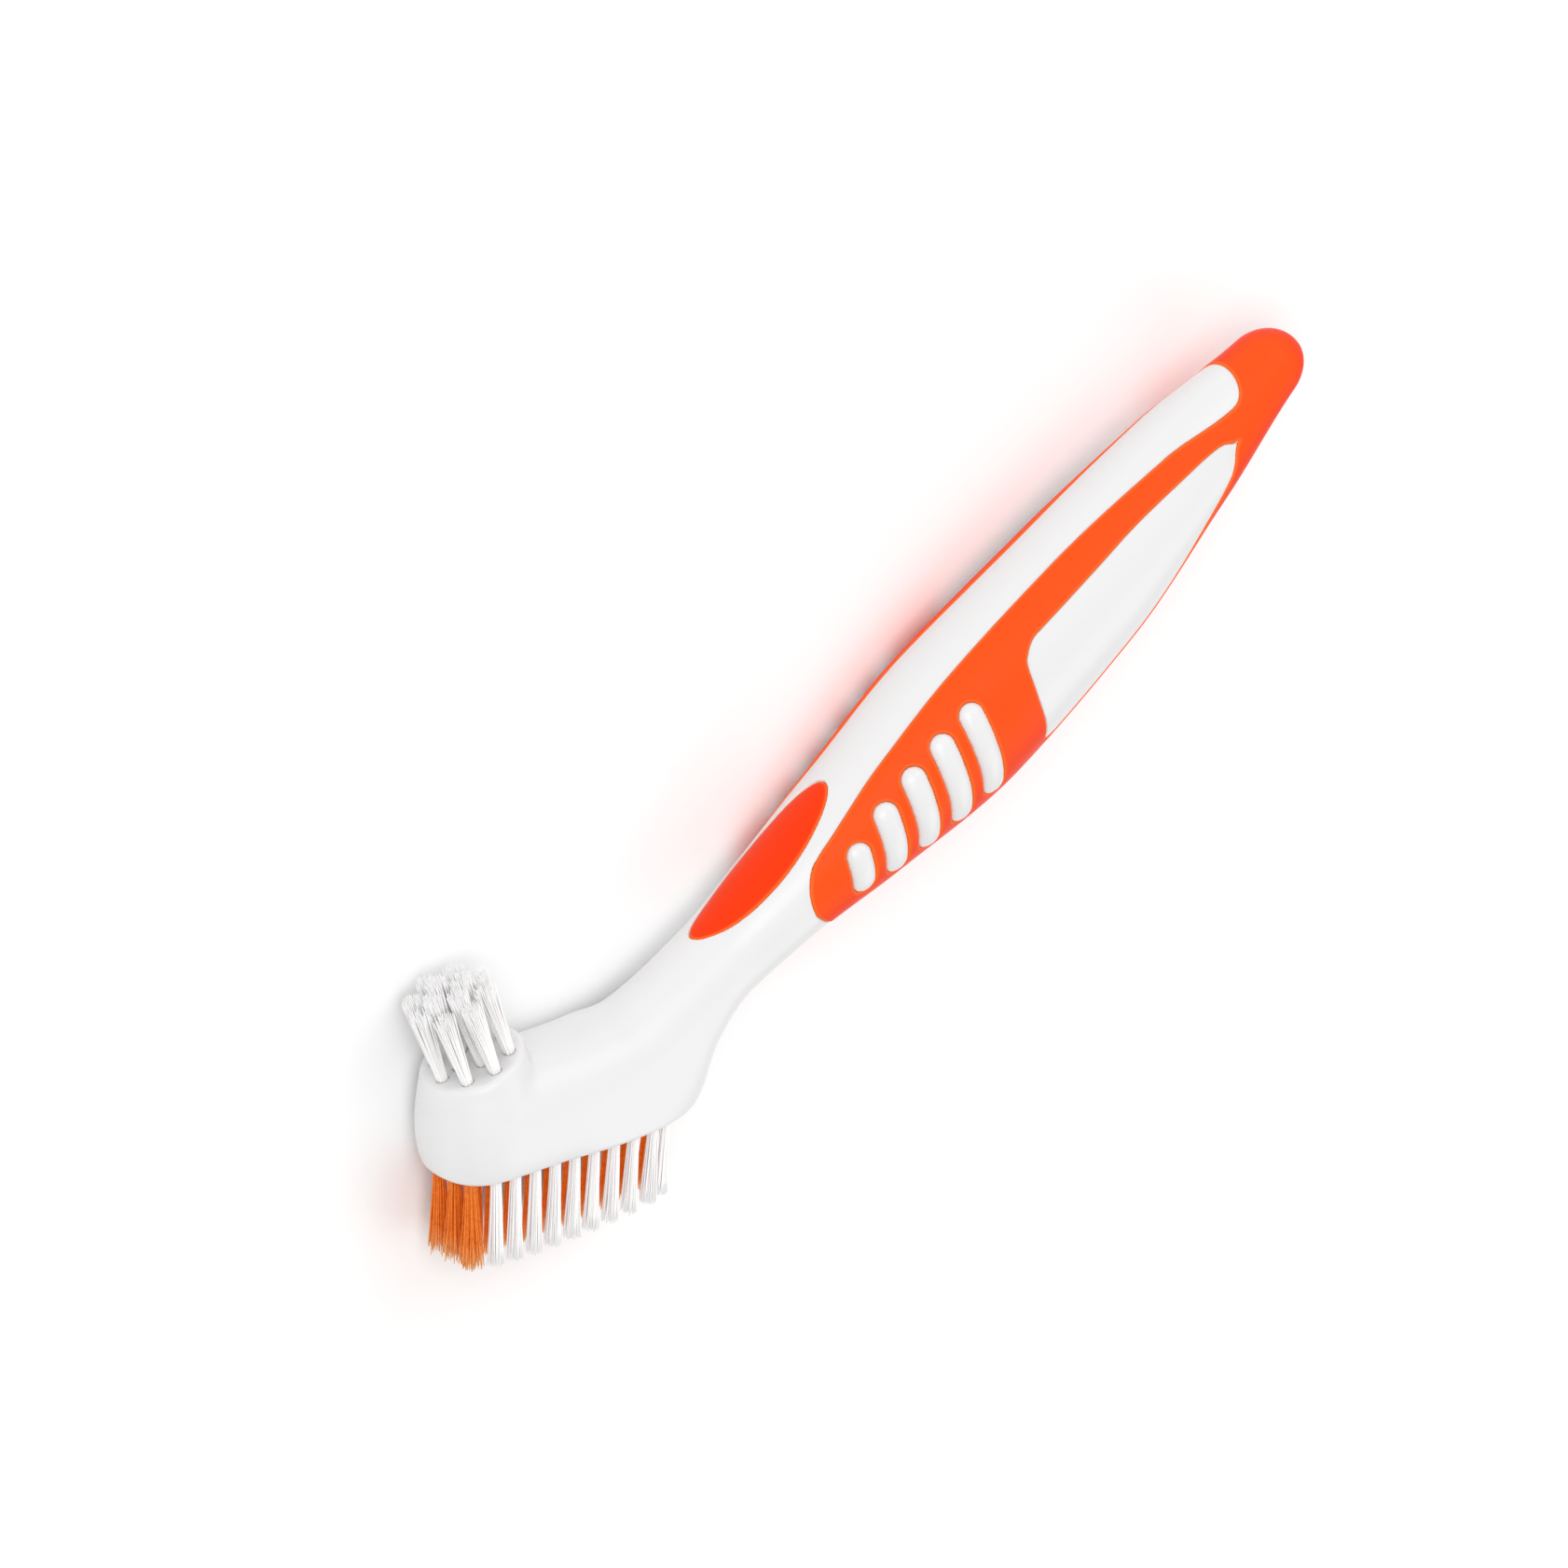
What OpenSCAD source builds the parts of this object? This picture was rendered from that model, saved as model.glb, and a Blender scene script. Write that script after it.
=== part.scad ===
// Denture brush, lying on its side as it comes to rest on a table.
// One moulded body carries a wide bristle head below and a small round brush on its back.
// X runs from the front of the head to the tail, Y points to the brush's back, Z is up.

/* [Head] */
// Width of the head across its bristle face
head_w = 15.2; // [14.4:0.2:17]
// Straight length of the head before it bends up into the neck
head_run = 16.7; // [16:0.1:19]
// Height of the head's middle line above the bristle face
face_drop = 5.7; // [5:0.1:6.2]
// Rise of the head's back above its middle line
head_above = 8.5; // [8:0.1:9.2]
// Depth of the head's full round section below its middle line
head_below = 8.5; // [8:0.1:9.5]
// Length over which the front end rounds off, seen from above
nose_run = 7.6; // [6:0.1:8.2]
// Length over which the front end rounds off, seen from the side
nose_edge = 4.6; // [3:0.1:6]
// Squareness of the head's section, where 2 is an ellipse
head_square = 2.6; // [2.2:0.1:3]
// Squareness of the lower half of that section
head_box = 2.8; // [2.4:0.1:3.4]

/* [Neck] */
// Angle that the neck rises from the bristle face
neck_rise = 30.5; // [26:0.5:36]
// Radius of the bend between head and neck
bend_r = 30.3; // [26:0.1:36]
// Straight length of the neck
neck_run = 23.6; // [21:0.2:28]
// Distance of the heel ahead of the end of the bend
heel_ahead = 6.5; // [5:0.1:8]
// Distance of the throat behind the end of the bend
throat_behind = 0.6; // [0.2:0.1:1.4]
// Distance of the neck's first slim section behind the end of the bend
slim_behind = 6.6; // [5:0.1:8]
// Distance of the slimmest section behind the end of the bend
waist_behind = 13.7; // [12:0.1:16]
// Width at the heel of the head
heel_w = 14.3; // [14:0.1:15]
// Rise of the back above the middle line at the heel
heel_above = 7.3; // [6.5:0.1:8]
// Depth below the middle line at the heel
heel_below = 11.7; // [10.5:0.1:12.5]
// Squareness of the lower half of the heel
heel_box = 5; // [4.6:0.1:5.6]
// Width behind the heel
throat_w = 12.4; // [12:0.1:13]
// Rise above the middle line behind the heel
throat_above = 6; // [5.5:0.1:6.6]
// Depth below the middle line behind the heel
throat_below = 11.5; // [10.8:0.1:12]
// Depth below the middle line at the first slim section
slim_below = 7.55; // [7:0.05:8.2]
// Width of the neck at its slimmest
waist_w = 11.4; // [10.4:0.1:12.6]
// Rise above the middle line at the slimmest place
waist_above = 5.6; // [5:0.1:6.2]
// Depth below the middle line at the slimmest place
waist_below = 5.6; // [5:0.1:6.2]

/* [Handle] */
// Length of the handle from the end of the neck to the tail
handle_run = 98.4; // [92:0.2:110]
// Angle that the handle curves back over its length
handle_bow = 6.4; // [4:0.1:9]
// Width under the thumb
thumb_w = 13.3; // [12.4:0.1:14.4]
// Rise above the middle line under the thumb
thumb_above = 6.6; // [6.2:0.1:7.2]
// Depth below the middle line under the thumb
thumb_below = 5.7; // [5.4:0.1:6.4]
// Distance of the swelling ahead of the palm behind the neck
swell_behind = 14.4; // [12:0.1:17]
// Width of that swelling
swell_w = 16.35; // [15.4:0.05:17.2]
// Rise of that swelling above the middle line
swell_above = 8.25; // [7.6:0.05:8.9]
// Depth of that swelling below the middle line
swell_below = 7.9; // [7.3:0.05:8.5]
// Distance of the palm behind the neck
palm_behind = 34.6; // [31:0.1:38]
// Width at the palm, the widest place
palm_w = 19; // [17.6:0.1:21]
// Rise above the middle line at the palm
palm_above = 10.5; // [9.6:0.1:11.6]
// Depth below the middle line at the palm
palm_below = 10.7; // [9.6:0.1:11.6]
// Distance of the rear of the palm behind the neck
rear_behind = 56.8; // [52:0.1:61]
// Width at the rear of the palm
rear_w = 18; // [16.8:0.1:19.4]
// Rise above the middle line at the rear of the palm
rear_above = 9.7; // [9:0.1:10.6]
// Depth below the middle line at the rear of the palm
rear_below = 9.7; // [9:0.1:10.6]
// Distance of the taper ahead of the tail
taper_ahead = 21.3; // [18:0.1:24]
// Width where the handle tapers to the tail
taper_w = 14.6; // [13.4:0.1:16]
// Rise above the middle line where the handle tapers
taper_above = 8.2; // [7.4:0.1:9]
// Depth below the middle line where the handle tapers
taper_below = 6.2; // [5.8:0.1:7]
// Width of the tail before it rounds off
tail_w = 8.9; // [8:0.1:10]
// Rise above the middle line at the tail
tail_above = 4.65; // [4.2:0.05:5.2]
// Depth below the middle line at the tail
tail_below = 3.45; // [3.2:0.05:4.2]
// Length over which the tail rounds off
tail_round = 4.85; // [3.6:0.05:6]
// Squareness of the handle's section, where 2 is an ellipse
handle_square = 2.1; // [2:0.05:2.4]
// Squareness of the tail's section, where 2 is an ellipse
tail_square = 2; // [2:0.05:2.3]

/* [Soft grip] */
// Thickness of the soft grip over the hard core
grip_t = 1.2; // [0.9:0.05:1.6]
// Height that the soft grip stands proud of the hard surface
grip_proud = 0.15; // [0:0.05:0.3]
// Distance from the end of the neck to the front of the grip
grip_setback = 2; // [1:0.1:5]
// Length of the all-soft cap at the tail
tail_cap = 9.3; // [7:0.1:12]
// Length over which the front of the grip rounds off
grip_nose = 4; // [3:0.1:5]
// Length over which the rear of the white strip rounds off
strip_round = 3.7; // [3:0.1:4.4]
// Distance from the end of the neck to the front of the side windows
window_setback = 39.4; // [38:0.1:42]
// Distance from the tail to the rear tip of the side windows
window_tail = 15.6; // [14:0.1:18]

/* [Finger ribs] */
// Number of finger ribs on each side
rib_count = 5; // [3:1:5]
// Distance between neighbouring ribs along the handle
rib_pitch = 5.36; // [5:0.02:5.6]
// Distance from the end of the neck to the middle of the first rib
rib_setback = 10.1; // [9.4:0.1:11]
// Width of a rib
rib_w = 3.4; // [2.8:0.1:3.8]
// Height of a rib's crest above the surface
rib_proud = 0.6; // [0.3:0.05:0.8]
// Distance that a rib's upper end leans towards the tail
rib_lean = 2.6; // [1.6:0.1:3.4]

/* [Thumb pad] */
// Length of the oval thumb pad
pad_len = 25.8; // [20:0.2:27]
// Width of the oval thumb pad
pad_w = 8.5; // [6.5:0.1:9.2]
// Thickness of the thumb pad
pad_t = 1.2; // [0.8:0.1:1.6]
// Depth of the pad's face under the hard surface
pad_recess = 0.2; // [0:0.05:0.4]
// Distance from the end of the neck to the middle of the pad
pad_setback = 1.8; // [0:0.1:3]

/* [Main bristles] */
// Tufts in each outer row, and in each inner row
row_count = 10; // [6:1:10]
// Distance between neighbouring tufts in a row
tuft_pitch = 3.02; // [2.7:0.02:3.04]
// Distance of the first outer tuft from the front of the head
outer_first = 6.6; // [6:0.1:7]
// Distance of the outer rows from the head's centre plane
outer_row = 5; // [4.8:0.1:5.1]
// Distance of the inner rows from the head's centre plane
inner_row = 1.75; // [1.5:0.05:2]
// Distance between the front tufts, side by side
front_pitch = 3.7; // [3.2:0.1:3.8]
// Distance of the front tufts from the front of the head
front_first = 3; // [2.8:0.1:3.3]
// Radius of a tuft where it leaves the head
tuft_r = 0.76; // [0.6:0.02:0.8]
// Radius of a tuft at its tips
tuft_tip_r = 1.2; // [1:0.05:1.35]
// Clear height of the bristles at the front of the head
bristle_front = 12.1; // [9:0.1:14]
// Clear height of the bristles at the rear of the head
bristle_rear = 10; // [8:0.1:12]
// Angle that the rearmost bristles lean forward
rear_lean = 6; // [0:0.5:8]
// Depth of a tuft hole
hole_depth = 4; // [3:0.1:4.4]
// Clearance between a tuft and its hole
tuft_gap = 0.07; // [0.06:0.01:0.12]

/* [Small brush] */
// Radius of the round boss that carries the small brush
boss_r = 6.45; // [6.2:0.05:7]
// Angle that the small brush leans forward
boss_lean = 20; // [14:1:24]
// Distance of the boss from the front of the head
boss_at = 5.95; // [5.6:0.05:6.6]
// Height of the boss above the bristle face
boss_h = 14.5; // [14:0.1:15]
// Radius of the edge of the boss
boss_edge = 0.7; // [0.5:0.1:0.8]
// Height of the boss's foot above the head's middle line
boss_foot = 2.6; // [2:0.1:3.2]
// Tufts in the outer ring of the small brush
ring_count = 8; // [6:1:8]
// Radius of the outer ring
ring_r = 4.8; // [4.7:0.05:4.85]
// Tufts in the inner ring of the small brush
core_count = 4; // [3:1:4]
// Radius of the inner ring
core_r = 2.2; // [2:0.1:2.3]
// Angle that the outer ring's tufts splay outwards
ring_splay = 5; // [4:0.5:6]
// Radius of the small brush's tufts at their tips
small_tip_r = 1.55; // [1.1:0.05:1.55]
// Length of the small brush's bristles in the middle
small_bristle = 12; // [8:0.2:13]
// Height that the outer ring is trimmed below the middle
small_dome = 1.1; // [0:0.1:3]
// Depth of the small brush's tuft holes
small_depth = 3; // [2.6:0.1:3.2]

/* [Anchors] */
// Thickness of the metal anchor that holds each tuft
anchor_t = 0.25; // [0.2:0.05:0.4]
// Height of the metal anchor
anchor_h = 1.4; // [1:0.1:1.8]

/* [Hidden] */
// Length of a run between two stations, and what lies behind them
t_bend = head_run;
t_neck = t_bend + bend_r * neck_rise * PI / 180;
t_handle = t_neck + neck_run;
t_tail = t_handle + handle_run;
bow_r = handle_run / (handle_bow * PI / 180);

// Names of the tufts in their rows and rings
ROW_NAMES = ["left_tuft", "right_tuft", "inner_left_tuft", "inner_right_tuft"];

// Distance that a cutting body passes beyond what it cuts
over = 1;

// Facets round a section, a tuft hole and a rib. A section has a facet, and not an edge, on
// each side, as the brush lies on its side.
ring_n = 24;
core_n = 16;
hole_n = 8;
rib_n = 10;

// Smooth curve through the rows of a table, with no overshoot, read at station t.
// Column 0 holds the stations and column c the value.
function step(rows, k, c) = (rows[k + 1][c] - rows[k][c]) / (rows[k + 1][0] - rows[k][0]);
function knot_slope(rows, k, c) =
    k == 0 || k == len(rows) - 1 ? 0 :
    let (
        a = step(rows, k - 1, c),
        b = step(rows, k, c),
        ha = rows[k][0] - rows[k - 1][0],
        hb = rows[k + 1][0] - rows[k][0]
    )
    a * b <= 0 ? 0 : 3 * (ha + hb) / ((2 * hb + ha) / a + (hb + 2 * ha) / b);
function span(rows, t, k = 0) =
    k >= len(rows) - 2 || t < rows[k + 1][0] ? k : span(rows, t, k + 1);
function curve(rows, t, c = 1) =
    let (
        s = min(max(t, rows[0][0]), rows[len(rows) - 1][0]),
        k = span(rows, s),
        h = rows[k + 1][0] - rows[k][0],
        u = (s - rows[k][0]) / h,
        a = knot_slope(rows, k, c) * h,
        b = knot_slope(rows, k + 1, c) * h,
        v = rows[k][c],
        w = rows[k + 1][c]
    )
    v + a * u + (3 * (w - v) - 2 * a - b) * u * u + (2 * (v - w) + a + b) * u * u * u;

// Middle line of the brush at station t: place in X and Y, and its rising angle
function middle(t) =
    t <= t_bend ? [t, face_drop, 0] :
    t <= t_neck ?
        let (a = (t - t_bend) / bend_r * 180 / PI)
        [t_bend + bend_r * sin(a), face_drop + bend_r * (1 - cos(a)), a] :
    t <= t_handle ?
        let (m = middle(t_neck), d = t - t_neck)
        [m[0] + d * cos(neck_rise), m[1] + d * sin(neck_rise), neck_rise] :
    let (m = middle(t_handle), a = neck_rise + (t - t_handle) / bow_r * 180 / PI)
    [
        m[0] + bow_r * (sin(a) - sin(neck_rise)),
        m[1] + bow_r * (cos(neck_rise) - cos(a)),
        a
    ];

// A point that lies n above the middle line and z to the side, at station t
function at(t, n, z) =
    let (m = middle(t))
    [m[0] - n * sin(m[2]), m[1] + n * cos(m[2]), z];

// Sections along the brush: station, half width, rise, depth, and squareness above and below
SECTIONS = [
    [0, head_w / 2, head_above, head_below, head_square, head_box],
    [t_bend, head_w / 2, head_above, head_below, head_square, head_box],
    [t_neck - heel_ahead, heel_w / 2, heel_above, heel_below, head_square, heel_box],
    [t_neck + throat_behind, throat_w / 2, throat_above, throat_below, handle_square, heel_box],
    [t_neck + slim_behind, waist_w / 2, waist_above, slim_below, handle_square, head_box],
    [t_neck + waist_behind, waist_w / 2, waist_above, waist_below, handle_square, handle_square],
    [t_handle, thumb_w / 2, thumb_above, thumb_below, handle_square, handle_square],
    [t_handle + swell_behind, swell_w / 2, swell_above, swell_below, handle_square, handle_square],
    [t_handle + palm_behind, palm_w / 2, palm_above, palm_below, handle_square, handle_square],
    [t_handle + rear_behind, rear_w / 2, rear_above, rear_below, handle_square, handle_square],
    [t_tail - taper_ahead, taper_w / 2, taper_above, taper_below, tail_square, tail_square],
    [t_tail, tail_w / 2, tail_above, tail_below, tail_square, tail_square]
];

// Share of a section that is left at distance d from an end that rounds off over r
function rounding(d, r, p) = d >= r ? 1 : pow(max(1 - pow((r - max(d, 0)) / r, p), 0), 1 / p);

// Half width, rise, depth and both squarenesses at station t, grown by g
function section(t, g = 0) =
    let (
        tail = rounding(t_tail + g - t, tail_round, 2),
        plan = rounding(t + g, nose_run, 2.4) * tail,
        side = rounding(t + g, nose_edge, 2.2) * tail
    )
    [
        (curve(SECTIONS, t, 1) + g) * plan,
        (curve(SECTIONS, t, 2) + g) * side,
        (curve(SECTIONS, t, 3) + g) * side,
        curve(SECTIONS, t, 4),
        curve(SECTIONS, t, 5)
    ];

// Side and height of the surface in a section s, at angle q from its back
function rim(s, q) =
    let (c = cos(q), d = sin(q), e = 2 / (c > 0 ? s[3] : s[4]))
    [
        s[0] * sign(d) * pow(abs(d), e),
        (c > 0 ? s[1] : s[2]) * sign(c) * pow(abs(c), e)
    ];
function skin(t, q, g = 0) =
    let (p = rim(section(t, g), q))
    at(t, p[1], p[0]);

// Closed solid through rings of equal point counts, with flat ends
function ring_faces(rings, n) = concat(
    [[for (j = [0:n - 1]) j]],
    [
        for (i = [0:rings - 2], j = [0:n - 1])
            let (a = i * n + j, b = i * n + (j + 1) % n)
            each [[a, a + n, b + n], [a, b + n, b]]
    ],
    [[for (j = [n - 1:-1:0]) (rings - 1) * n + j]]
);
module rings_solid(rings) {
    n = len(rings[0]);
    polyhedron([for (r = rings) each r], ring_faces(len(rings), n), convexity = 6);
}

// Stations of the rings: close together where the ends round off
function ends(r, n) = [for (i = [1:n]) r * (1 - cos(90 * i / n))];
function run(a, b, n) = [for (i = [1:n]) a + (b - a) * i / n];
TIP = 0.003;
HEAD_STATIONS = concat([TIP * nose_run], ends(nose_run, 6), run(nose_run, t_neck, 9));
NECK_STATIONS = concat(run(t_neck, t_handle, 7), [t_handle + grip_setback]);
HANDLE_STATIONS = run(t_handle + grip_setback, t_tail - tail_round, 13);
TAIL_STATIONS = [for (i = [1:5]) t_tail - tail_round * (1 - sin(15 * i))];
STATIONS = concat(
    HEAD_STATIONS, NECK_STATIONS, HANDLE_STATIONS, TAIL_STATIONS, [t_tail - TIP * tail_round]
);

module loft(stations, g = 0, n = ring_n) {
    rings_solid([
        for (t = stations)
            let (s = section(t, g))
            [for (j = [0:n - 1]) let (p = rim(s, 360 * (j + 0.5) / n)) at(t, p[1], p[0])]
    ]);
}

// Wedge between two angles of the section, from the middle line out past the surface.
// side is 1 for the upper flank and -1 for the lower one.
wedge_reach = 1.5 * max(palm_above, palm_below, palm_w / 2);
wedge_n = 6;
module wedge(stations, low, high, side) {
    rings_solid([
        for (t = stations)
            let (s = section(min(max(t, nose_run), t_tail - tail_round)), a = low(t), b = high(t))
            [
                at(t, 0, 0),
                for (j = [0:wedge_n])
                    let (
                        q = side > 0 ? a + (b - a) * j / wedge_n : b + (a - b) * j / wedge_n,
                        p = rim(s, q),
                        k = wedge_reach / norm(p)
                    )
                    at(t, k * p[1], side * k * p[0])
            ]
    ]);
}

// Edge of the soft grip along the white strip on the back: share of its length, and angle
// from the middle of the back
grip_front = t_handle + grip_setback;
strip_end = t_tail - tail_cap;
strip_len = strip_end - grip_front;
NOSE_MIDDLE = 95;
STRIP_EDGE = [[0, 55], [0.07, 45], [0.21, 31], [0.6, 23.5], [0.83, 34], [0.96, 51], [1, 53]];
function strip_edge(t) =
    t >= strip_end ? 0 :
    let (
        nose = rounding(t - grip_front, grip_nose, 2),
        tail = rounding(strip_end - t, strip_round, 2)
    )
    (NOSE_MIDDLE - (NOSE_MIDDLE - curve(STRIP_EDGE, (t - grip_front) / strip_len)) * nose) * tail;
function keel_edge(t) =
    t >= grip_front + grip_nose ? 181 :
    NOSE_MIDDLE + 1 + 85 * pow(max(t - grip_front, 0) / grip_nose, 0.8);

GRIP_STATIONS = concat(
    [for (d = ends(grip_nose, 5)) grip_front + d],
    run(grip_front + grip_nose, strip_end - strip_round, 10),
    [for (i = [1:5]) strip_end - strip_round * (1 - sin(18 * i))],
    [strip_end + 0.01, (strip_end + t_tail) / 2, t_tail + grip_t]
);

// Side windows in the soft grip, where the hard body comes to the surface: share of their
// length, and angle from the middle of the back
window_front = t_handle + window_setback;
window_rear = t_tail - window_tail;
WINDOW_TOP = [
    [0, 125], [0.035, 90], [0.083, 61], [0.157, 53], [0.523, 53], [0.82, 60], [0.949, 67], [1, 78]
];
WINDOW_KEEL = [[0, 127], [0.053, 131], [0.541, 126], [0.753, 112], [0.91, 98], [1, 79]];
WINDOW_SHARES = concat(
    [0, 0.01, 0.02, 0.035, 0.053, 0.083, 0.12],
    run(0.157, 0.82, 6),
    [0.873, 0.91, 0.949, 0.977, 0.993, 1]
);
function window_share(t) = (t - window_front) / (window_rear - window_front);
WINDOW_STATIONS = [
    for (share = WINDOW_SHARES) window_front + share * (window_rear - window_front)
];

// Finger ribs: chains of domed discs that follow the flank and stand proud of it
RIB_MIDDLE = 88;
RIB_REACH = [13, 23, 27, 28.5, 28.5];
RIB_STOPS = [-1, -0.35, 0.49, 1];
function rib_reach(i) = RIB_REACH[i + len(RIB_REACH) - rib_count];
function rib_station(i, s) =
    t_handle + rib_setback + i * rib_pitch - s * rib_lean * rib_reach(i) / max(RIB_REACH) / 2;
function rib_angle(i, s) = RIB_MIDDLE + s * rib_reach(i);
function unit(v) = v / norm(v);
function outward(t, q) =
    let (d = unit(rim(section(t), q + 1) - rim(section(t), q - 1)), a = middle(t)[2])
    [d[0] * -sin(a), d[0] * cos(a), -d[1]];
module on_flank(t, q) {
    p = skin(t, q);
    a = middle(t)[2];
    x = [cos(a), sin(a), 0];
    z = outward(t, q);
    y = cross(z, x);
    multmatrix([for (c = [0:2]) [x[c], y[c], z[c], p[c]]]) children();
}
module rib_disc() {
    r = rib_w / 2;
    rotate_extrude($fn = rib_n) polygon([
        [0, -1.5 * grip_t],
        [r, -1.5 * grip_t],
        [r, 0],
        [0.6 * r, 0.82 * rib_proud],
        [0, rib_proud]
    ]);
}
module ribs() {
    for (side = [0, 1], i = [0:rib_count - 1], k = [0:len(RIB_STOPS) - 2])
        mirror([0, 0, side])
            hull() for (s = [RIB_STOPS[k], RIB_STOPS[k + 1]])
                on_flank(rib_station(i, s), rib_angle(i, s)) rib_disc();
}

// Hard core under the soft grip
CORE_STATIONS = concat(
    [grip_front - 0.6 * grip_nose],
    run(grip_front - grip_nose / 4, t_tail - tail_round - grip_t, 12),
    [for (i = [1:4]) t_tail - grip_t - tail_round * (1 - sin(20 * i))]
);
module core() {
    loft(CORE_STATIONS, -grip_t, core_n);
}

// What the soft grip takes out of the hard body
module grip_space() {
    difference() {
        for (side = [1, -1])
            wedge(GRIP_STATIONS, function(t) strip_edge(t), function(t) keel_edge(t), side);
        for (side = [1, -1])
            wedge(WINDOW_STATIONS, function(t) curve(WINDOW_TOP, window_share(t)),
                function(t) curve(WINDOW_KEEL, window_share(t)), side);
        core();
        ribs();
    }
}

// Thumb pad: an oval patch of the neck's back, between two depths
pad_mid = t_handle + pad_setback;
PAD_RINGS = 4;
PAD_N = 32;
function back_height(t, z, g) =
    let (s = section(t, g), w = min(abs(z) / s[0], 0.98))
    s[1] * pow(1 - pow(w, s[3]), 1 / s[3]);
function pad_point(k, j, g) =
    let (
        r = k / PAD_RINGS,
        t = pad_mid + r * pad_len / 2 * cos(360 * j / PAD_N),
        z = r * pad_w / 2 * sin(360 * j / PAD_N)
    )
    at(t, back_height(t, z, 0) + g, z);
function patch_faces(first, flip) = [
    for (k = [1:PAD_RINGS], j = [0:PAD_N - 1])
        let (
            a = first + 1 + (k - 1) * PAD_N + j,
            b = first + 1 + (k - 1) * PAD_N + (j + 1) % PAD_N,
            c = k == 1 ? [[first, a, b]] : [[a - PAD_N, a, b], [a - PAD_N, b, b - PAD_N]]
        )
        for (f = c) flip ? [f[2], f[1], f[0]] : f
];
module pad_solid(bottom, top) {
    layer = 1 + PAD_RINGS * PAD_N;
    edge = 1 + (PAD_RINGS - 1) * PAD_N;
    polyhedron(
        concat(
            [
                for (g = [bottom, top])
                    each concat(
                        [pad_point(0, 0, g)],
                        [for (k = [1:PAD_RINGS], j = [0:PAD_N - 1]) pad_point(k, j, g)]
                    )
            ]
        ),
        concat(
            patch_faces(0, true),
            patch_faces(layer, false),
            [
                for (j = [0:PAD_N - 1])
                    let (a = edge + j, b = edge + (j + 1) % PAD_N)
                    each [[a, b, b + layer], [a, b + layer, a + layer]]
            ]
        ),
        convexity = 4
    );
}

// Round boss for the small brush, leaning forward on the head's back
module on_boss() {
    translate([boss_at, boss_h, 0]) rotate([-90, 0, 0]) rotate([0, -boss_lean, 0]) children();
}
module boss() {
    foot_r = 0.985 * nose_run;
    foot_y = face_drop + boss_foot;
    hull() {
        on_boss() rotate_extrude($fn = 36) polygon(concat(
            [[0, -boss_edge], [boss_r, -boss_edge]],
            [
                for (a = [22.5:22.5:90])
                    [boss_r - boss_edge + boss_edge * cos(a), boss_edge * (sin(a) - 1)]
            ],
            [[0, 0]]
        ));
        translate([nose_run, foot_y, 0]) rotate([90, 0, 0]) cylinder(h = over, r = foot_r, $fn = 36);
    }
}

// Tufts of the main brush: place, side and length
function rearward(x) =
    (x - front_first) / (outer_first + (row_count - 1) * tuft_pitch - front_first);
function bristle_len(x) = bristle_front + (bristle_rear - bristle_front) * rearward(x);
function row_x(row, k) = outer_first - (row < 2 ? 0 : tuft_pitch / 2) + (k - 1) * tuft_pitch;
function row_z(row) = [outer_row, -outer_row, inner_row, -inner_row][row];
ROW_TUFTS = [for (row = [0:3], k = [1:row_count]) [row_x(row, k), row_z(row)]];
FRONT_TUFTS = [for (k = [1:3]) [front_first, (2 - k) * front_pitch]];

// Tufts of the small brush: ring radius, angle, splay and length
RING_TUFTS = [
    for (k = [1:ring_count])
        [ring_r, 360 * k / ring_count, ring_splay, small_bristle - small_dome]
];
CORE_TUFTS = [
    for (k = [1:core_count])
        [core_r, 360 * k / core_count, ring_splay / 3, small_bristle]
];

// A place on the bristle face, where Z points along the bristles
module on_face(p) {
    translate([p[0], 0, p[1]])
        rotate([0, 0, -rear_lean * rearward(p[0])]) rotate([90, 0, 0]) children();
}
// A place on the boss, where Z points along the bristles
module on_ring(p) {
    on_boss() rotate([0, 0, p[1]]) translate([p[0], 0, 0]) rotate([0, p[2], 0]) children();
}

module hole(depth) {
    translate([0, 0, -depth])
        cylinder(h = depth + over, r = (tuft_r + tuft_gap) / cos(180 / hole_n), $fn = hole_n);
}
module anchor(depth) {
    translate([-anchor_t / 2, -tuft_r, -depth]) cube([anchor_t, 2 * tuft_r, anchor_h]);
}
// A bunch of filaments folded round its anchor, straight in its hole and flared above
module tuft(depth, length, tip_r = tuft_tip_r) {
    difference() {
        union() {
            translate([0, 0, -depth]) cylinder(h = depth, r = tuft_r);
            cylinder(h = length, r1 = tuft_r, r2 = tip_r);
        }
        anchor(depth);
    }
}

// Lies the brush on its side, with its middle over the origin and its length along X
HEAD_FRONT = [0, face_drop];
TAIL_END = [middle(t_tail)[0], middle(t_tail)[1]];
lie_angle = atan2(TAIL_END[1] - HEAD_FRONT[1], TAIL_END[0] - HEAD_FRONT[0]);
function turned(p) = [
    p[0] * cos(lie_angle) + p[1] * sin(lie_angle),
    p[1] * cos(lie_angle) - p[0] * sin(lie_angle)
];
OUTLINE = concat(
    [for (t = STATIONS, q = [0, 180]) let (p = skin(t, q)) turned([p[0], max(p[1], 0)])],
    [for (x = [front_first, row_x(0, row_count)], s = [-1, 1])
        turned([x + s * tuft_tip_r, -bristle_len(x)])],
    [for (s = [-1, 1]) turned([
        boss_at - small_bristle * sin(boss_lean) + s * (ring_r + small_tip_r) * cos(boss_lean),
        boss_h + small_bristle * cos(boss_lean) + s * ring_r * sin(boss_lean)
    ])]
);
function middle_of(v) = (max(v) + min(v)) / 2;
lie_x = middle_of([for (p = OUTLINE) p[0]]);
lie_y = middle_of([for (p = OUTLINE) p[1]]);

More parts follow.
